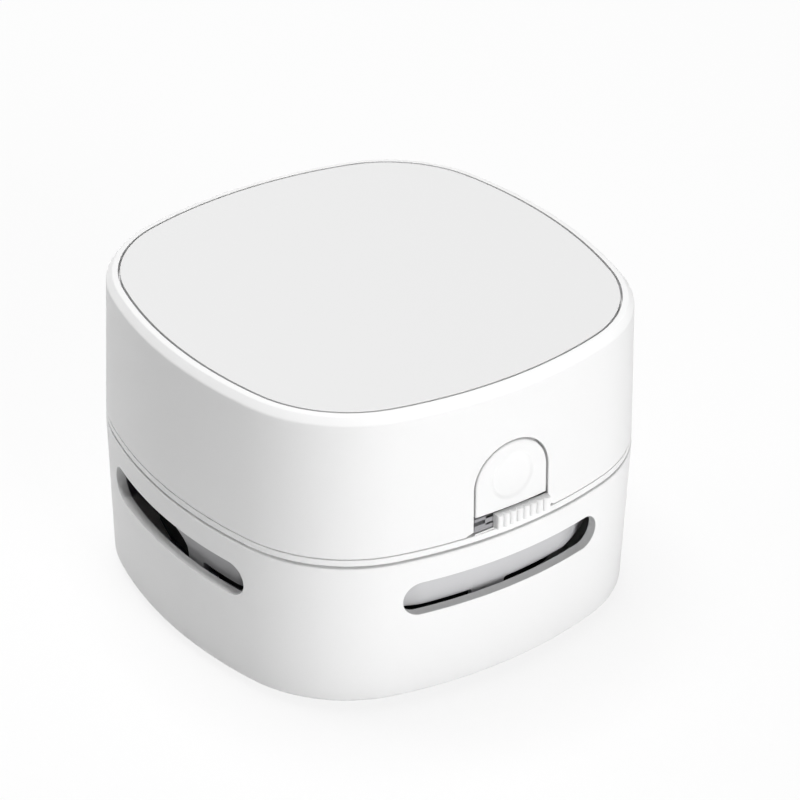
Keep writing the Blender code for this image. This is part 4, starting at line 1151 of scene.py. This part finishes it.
class StudioSettings(bpy.types.PropertyGroup):
    """The studio's lamps, floor and camera."""
    sky_strength: bpy.props.FloatProperty(name="Sky", description="Strength of the light from all round",
                                          default=0.008, min=0)
    top_power: power_setting("Top lamp", "Power of the soft lamp above", 15.8)
    top_size: length_setting("Top lamp size", "Width of the soft lamp above", 0.6)
    top_place: place_setting("Top lamp place", "Where the lamp above stands", (0, 0.231, 1.31))
    front_power: power_setting("Front lamp", "Power of the tall soft lamp in front", 10.4)
    front_width: length_setting("Front lamp width", "Width of the soft lamp in front", 0.40)
    front_height: length_setting("Front lamp height", "Height of the soft lamp in front", 0.62)
    front_place: place_setting("Front lamp place", "Where the lamp in front stands", (0.012, -1.156, 0.321))
    rear_power: power_setting("Rear lamp", "Power of the low soft lamp behind at the left", 3.35)
    rear_size: length_setting("Rear lamp size", "Width of the low soft lamp behind", 0.4)
    rear_place: place_setting("Rear lamp place", "Where the lamp behind stands", (-0.638, 0.911, 0.45))
    floor_colour: colour_setting("Floor", "The floor's colour", (0.80, 0.80, 0.80))
    floor_glow: bpy.props.FloatProperty(name="Floor glow", description="Share of white that the camera sees",
                                        default=0.85, min=0, max=1, subtype="FACTOR")
    camera_azimuth: turn_setting("Azimuth", "The camera's turn about the object", -35.254)
    camera_elevation: turn_setting("Elevation", "The camera's height angle", 34.381)
    camera_roll: turn_setting("Roll", "The camera's turn about its own line of sight", 0.914)
    camera_distance: length_setting("Distance", "The camera's distance from its aim", 0.61524)


def camera_axes(settings):
    """Right, up and back of the camera at the settings' angles, and its place."""
    azimuth, elevation = settings.camera_azimuth, settings.camera_elevation
    back = Vector((math.sin(azimuth) * math.cos(elevation), -math.cos(azimuth) * math.cos(elevation),
                   math.sin(elevation)))
    right = Vector((math.cos(azimuth), math.sin(azimuth), 0))
    aim = right * aim_right + back.cross(right) * aim_up
    place = back * settings.camera_distance
    look = (aim - place).normalized()
    level = look.cross(Vector((0, 0, 1))).normalized()
    upright = level.cross(look)
    roll = settings.camera_roll
    rolled_right = level * math.cos(roll) + upright * math.sin(roll)
    rolled_up = upright * math.cos(roll) - level * math.sin(roll)
    return rolled_right, rolled_up, -look, place + Vector((0, 0, shell_bottom))


def add_camera(settings):
    """The camera, at the settings' angles."""
    right, up, back, place = camera_axes(settings)
    lens = bpy.data.cameras.new("photo_camera")
    lens.lens = lens_millimetres
    lens.sensor_width = sensor_millimetres
    lens.sensor_fit = "HORIZONTAL"
    lens.clip_end = camera_reach
    camera = add_object("photo_camera", lens)
    turn = Matrix((right, up, back)).transposed().to_4x4()
    camera.matrix_world = Matrix.Translation(place) @ turn
    bpy.context.scene.camera = camera


def floor_finish(settings):
    """A pale matt floor. For the camera part of it glows white, which lightens the object's shadow."""
    finish = Finish("floor", settings.floor_colour, floor_roughness)
    finish.shader.inputs["Specular IOR Level"].default_value = floor_sheen_share
    nodes, links = finish.nodes, finish.links
    glow = nodes.new("ShaderNodeEmission")
    rays = nodes.new("ShaderNodeLightPath")
    share = nodes.new("ShaderNodeMath")
    share.operation = "MULTIPLY"
    share.inputs[1].default_value = settings.floor_glow
    mixer = nodes.new("ShaderNodeMixShader")
    links.new(rays.outputs["Is Camera Ray"], share.inputs[0])
    links.new(share.outputs["Value"], mixer.inputs["Fac"])
    links.new(finish.shader.outputs["BSDF"], mixer.inputs[1])
    links.new(glow.outputs["Emission"], mixer.inputs[2])
    links.new(mixer.outputs["Shader"], nodes["Material Output"].inputs["Surface"])
    return finish.material


def add_floor(settings):
    """A wide square floor under the object."""
    corners = np.array([(-1, -1, 0), (1, -1, 0), (1, 1, 0), (-1, 1, 0)]) * floor_half_width
    mesh = bpy.data.meshes.new("floor")
    mesh.from_pydata(corners.tolist(), [], [(0, 1, 2, 3)])
    mesh.materials.append(floor_finish(settings))
    add_object("floor", mesh)


def add_lamp(name, place, width, height, power):
    """A soft lamp that looks at the object."""
    light = bpy.data.lights.new(name, "AREA")
    light.shape = "RECTANGLE"
    light.size = width
    light.size_y = height
    light.energy = power
    lamp = add_object(name, light)
    place = Vector(place)
    turn = (-place).to_track_quat("-Z", "Y").to_matrix().to_4x4()
    lamp.matrix_world = Matrix.Translation(place) @ turn


def add_sky(settings):
    """Even white light from all round."""
    world = bpy.data.worlds.new("studio")
    world.use_nodes = True
    background = world.node_tree.nodes["Background"]
    background.inputs["Color"].default_value = (1, 1, 1, 1)
    background.inputs["Strength"].default_value = settings.sky_strength
    bpy.context.scene.world = world


class CLEANER_OT_finishes(bpy.types.Operator):
    """Makes every finish and gives the frame's own nodes theirs"""
    bl_idname = "desk_cleaner.finishes"
    bl_label = "Finishes"

    def execute(self, context):
        make_finishes(context.scene.cleaner_colours)
        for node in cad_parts.values():
            for slot in node.material_slots:
                slot.material = bpy.data.materials[slot.material.name.split(".")[0]]
        return {"FINISHED"}


class CLEANER_OT_lower_shell(bpy.types.Operator):
    """Builds the dust box with its four slots"""
    bl_idname = "desk_cleaner.lower_shell"
    bl_label = "Lower shell"

    def execute(self, context):
        parts = lower_shell_parts() + lower_shell_ribs()
        add_piece("dust_box_shell", parts, "dust_box", "white_plastic", "lower_shell")
        return {"FINISHED"}


class CLEANER_OT_upper_shell(bpy.types.Operator):
    """Builds the upper cover and the trim line under it"""
    bl_idname = "desk_cleaner.upper_shell"
    bl_label = "Upper shell"

    def execute(self, context):
        parts = upper_shell_parts() + screw_post_parts()
        add_piece("upper_cover", parts, "upper_unit", "white_plastic", "upper_shell")
        add_piece("trim_band", trim_band_parts(), "upper_unit", "white_plastic")
        return {"FINISHED"}


class CLEANER_OT_top_panel(bpy.types.Operator):
    """Builds the flush panel"""
    bl_idname = "desk_cleaner.top_panel"
    bl_label = "Top panel"

    def execute(self, context):
        add_piece("flush_panel", top_panel_parts(), "upper_unit", "panel_plastic", "top_panel")
        return {"FINISHED"}


class CLEANER_OT_push_key(bpy.types.Operator):
    """Builds the arch-shaped key with its finger dimple, and gives its spring a mesh of its own"""
    bl_idname = "desk_cleaner.push_key"
    bl_label = "Push key"

    def execute(self, context):
        add_piece("arch_key", push_key_parts(), "release_key", "white_plastic", "push_key")
        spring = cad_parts["key_spring"]
        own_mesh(spring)
        return {"FINISHED"}


class CLEANER_OT_slide_knob(bpy.types.Operator):
    """Builds the ribbed knob and the guide behind it"""
    bl_idname = "desk_cleaner.slide_knob"
    bl_label = "Slide knob and guide"

    def execute(self, context):
        add_piece("ribbed_knob", slide_knob_parts(), "knob", "white_plastic", "slide_knob")
        add_piece("knob_guide", switch_guide_parts(), "upper_unit", "guide_plastic", "switch_guide")
        return {"FINISHED"}


class CLEANER_OT_fan_housing(bpy.types.Operator):
    """Builds the bowl behind the slots"""
    bl_idname = "desk_cleaner.fan_housing"
    bl_label = "Fan housing"

    def execute(self, context):
        add_piece("fan_bowl", fan_housing_parts(), "upper_unit", "grey_plastic", "fan_housing")
        return {"FINISHED"}


class CLEANER_OT_brushes(bpy.types.Operator):
    """Builds the four bristle strips"""
    bl_idname = "desk_cleaner.brushes"
    bl_label = "Bristle strips"

    def execute(self, context):
        for number in range(1, strip_count + 1):
            add_piece(f"bristles_{number}", brush_strip_parts(number), "dust_box", "bristle_nylon",
                      f"brush_strip_{number}")
        return {"FINISHED"}


class CLEANER_OT_stage(bpy.types.Operator):
    """Sets the floor, the lamps, the sky and the camera"""
    bl_idname = "desk_cleaner.stage"
    bl_label = "Studio"

    def execute(self, context):
        room = context.scene.cleaner_studio
        add_floor(room)
        add_lamp("top_lamp", room.top_place, room.top_size, room.top_size, room.top_power)
        add_lamp("front_lamp", room.front_place, room.front_width, room.front_height, room.front_power)
        add_lamp("rear_lamp", room.rear_place, room.rear_size, room.rear_size, room.rear_power)
        add_sky(room)
        add_camera(room)
        context.scene.view_settings.view_transform = "Standard"
        return {"FINISHED"}


class CLEANER_PT_sidebar(bpy.types.Panel):
    """Lists the settings and the build steps"""
    bl_idname = "CLEANER_PT_sidebar"
    bl_label = "Desk Cleaner"
    bl_space_type = "VIEW_3D"
    bl_region_type = "UI"
    bl_category = "Desk Cleaner"

    def draw(self, context):
        for settings in (context.scene.cleaner_colours, context.scene.cleaner_studio):
            for name in settings.bl_rna.properties.keys():
                if name not in ("rna_type", "name"):
                    self.layout.prop(settings, name)
        for step in STEPS:
            self.layout.operator(step.bl_idname)


STEPS = (
    CLEANER_OT_finishes,
    CLEANER_OT_lower_shell,
    CLEANER_OT_upper_shell,
    CLEANER_OT_top_panel,
    CLEANER_OT_push_key,
    CLEANER_OT_slide_knob,
    CLEANER_OT_fan_housing,
    CLEANER_OT_brushes,
    CLEANER_OT_stage,
)
CLASSES = (FinishColours, StudioSettings, *STEPS, CLEANER_PT_sidebar)


def register():
    """Makes the settings, the steps and the panel known to Blender."""
    for cls in CLASSES:
        bpy.utils.register_class(cls)
    bpy.types.Scene.cleaner_colours = bpy.props.PointerProperty(type=FinishColours)
    bpy.types.Scene.cleaner_studio = bpy.props.PointerProperty(type=StudioSettings)


def unregister():
    """Takes them away again."""
    del bpy.types.Scene.cleaner_studio
    del bpy.types.Scene.cleaner_colours
    for cls in reversed(CLASSES):
        bpy.utils.unregister_class(cls)


def main():
    """Runs every step in order."""
    register()
    for step in STEPS:
        group, name = step.bl_idname.split(".")
        getattr(getattr(bpy.ops, group), name)()


if __name__ == "__main__":
    main()
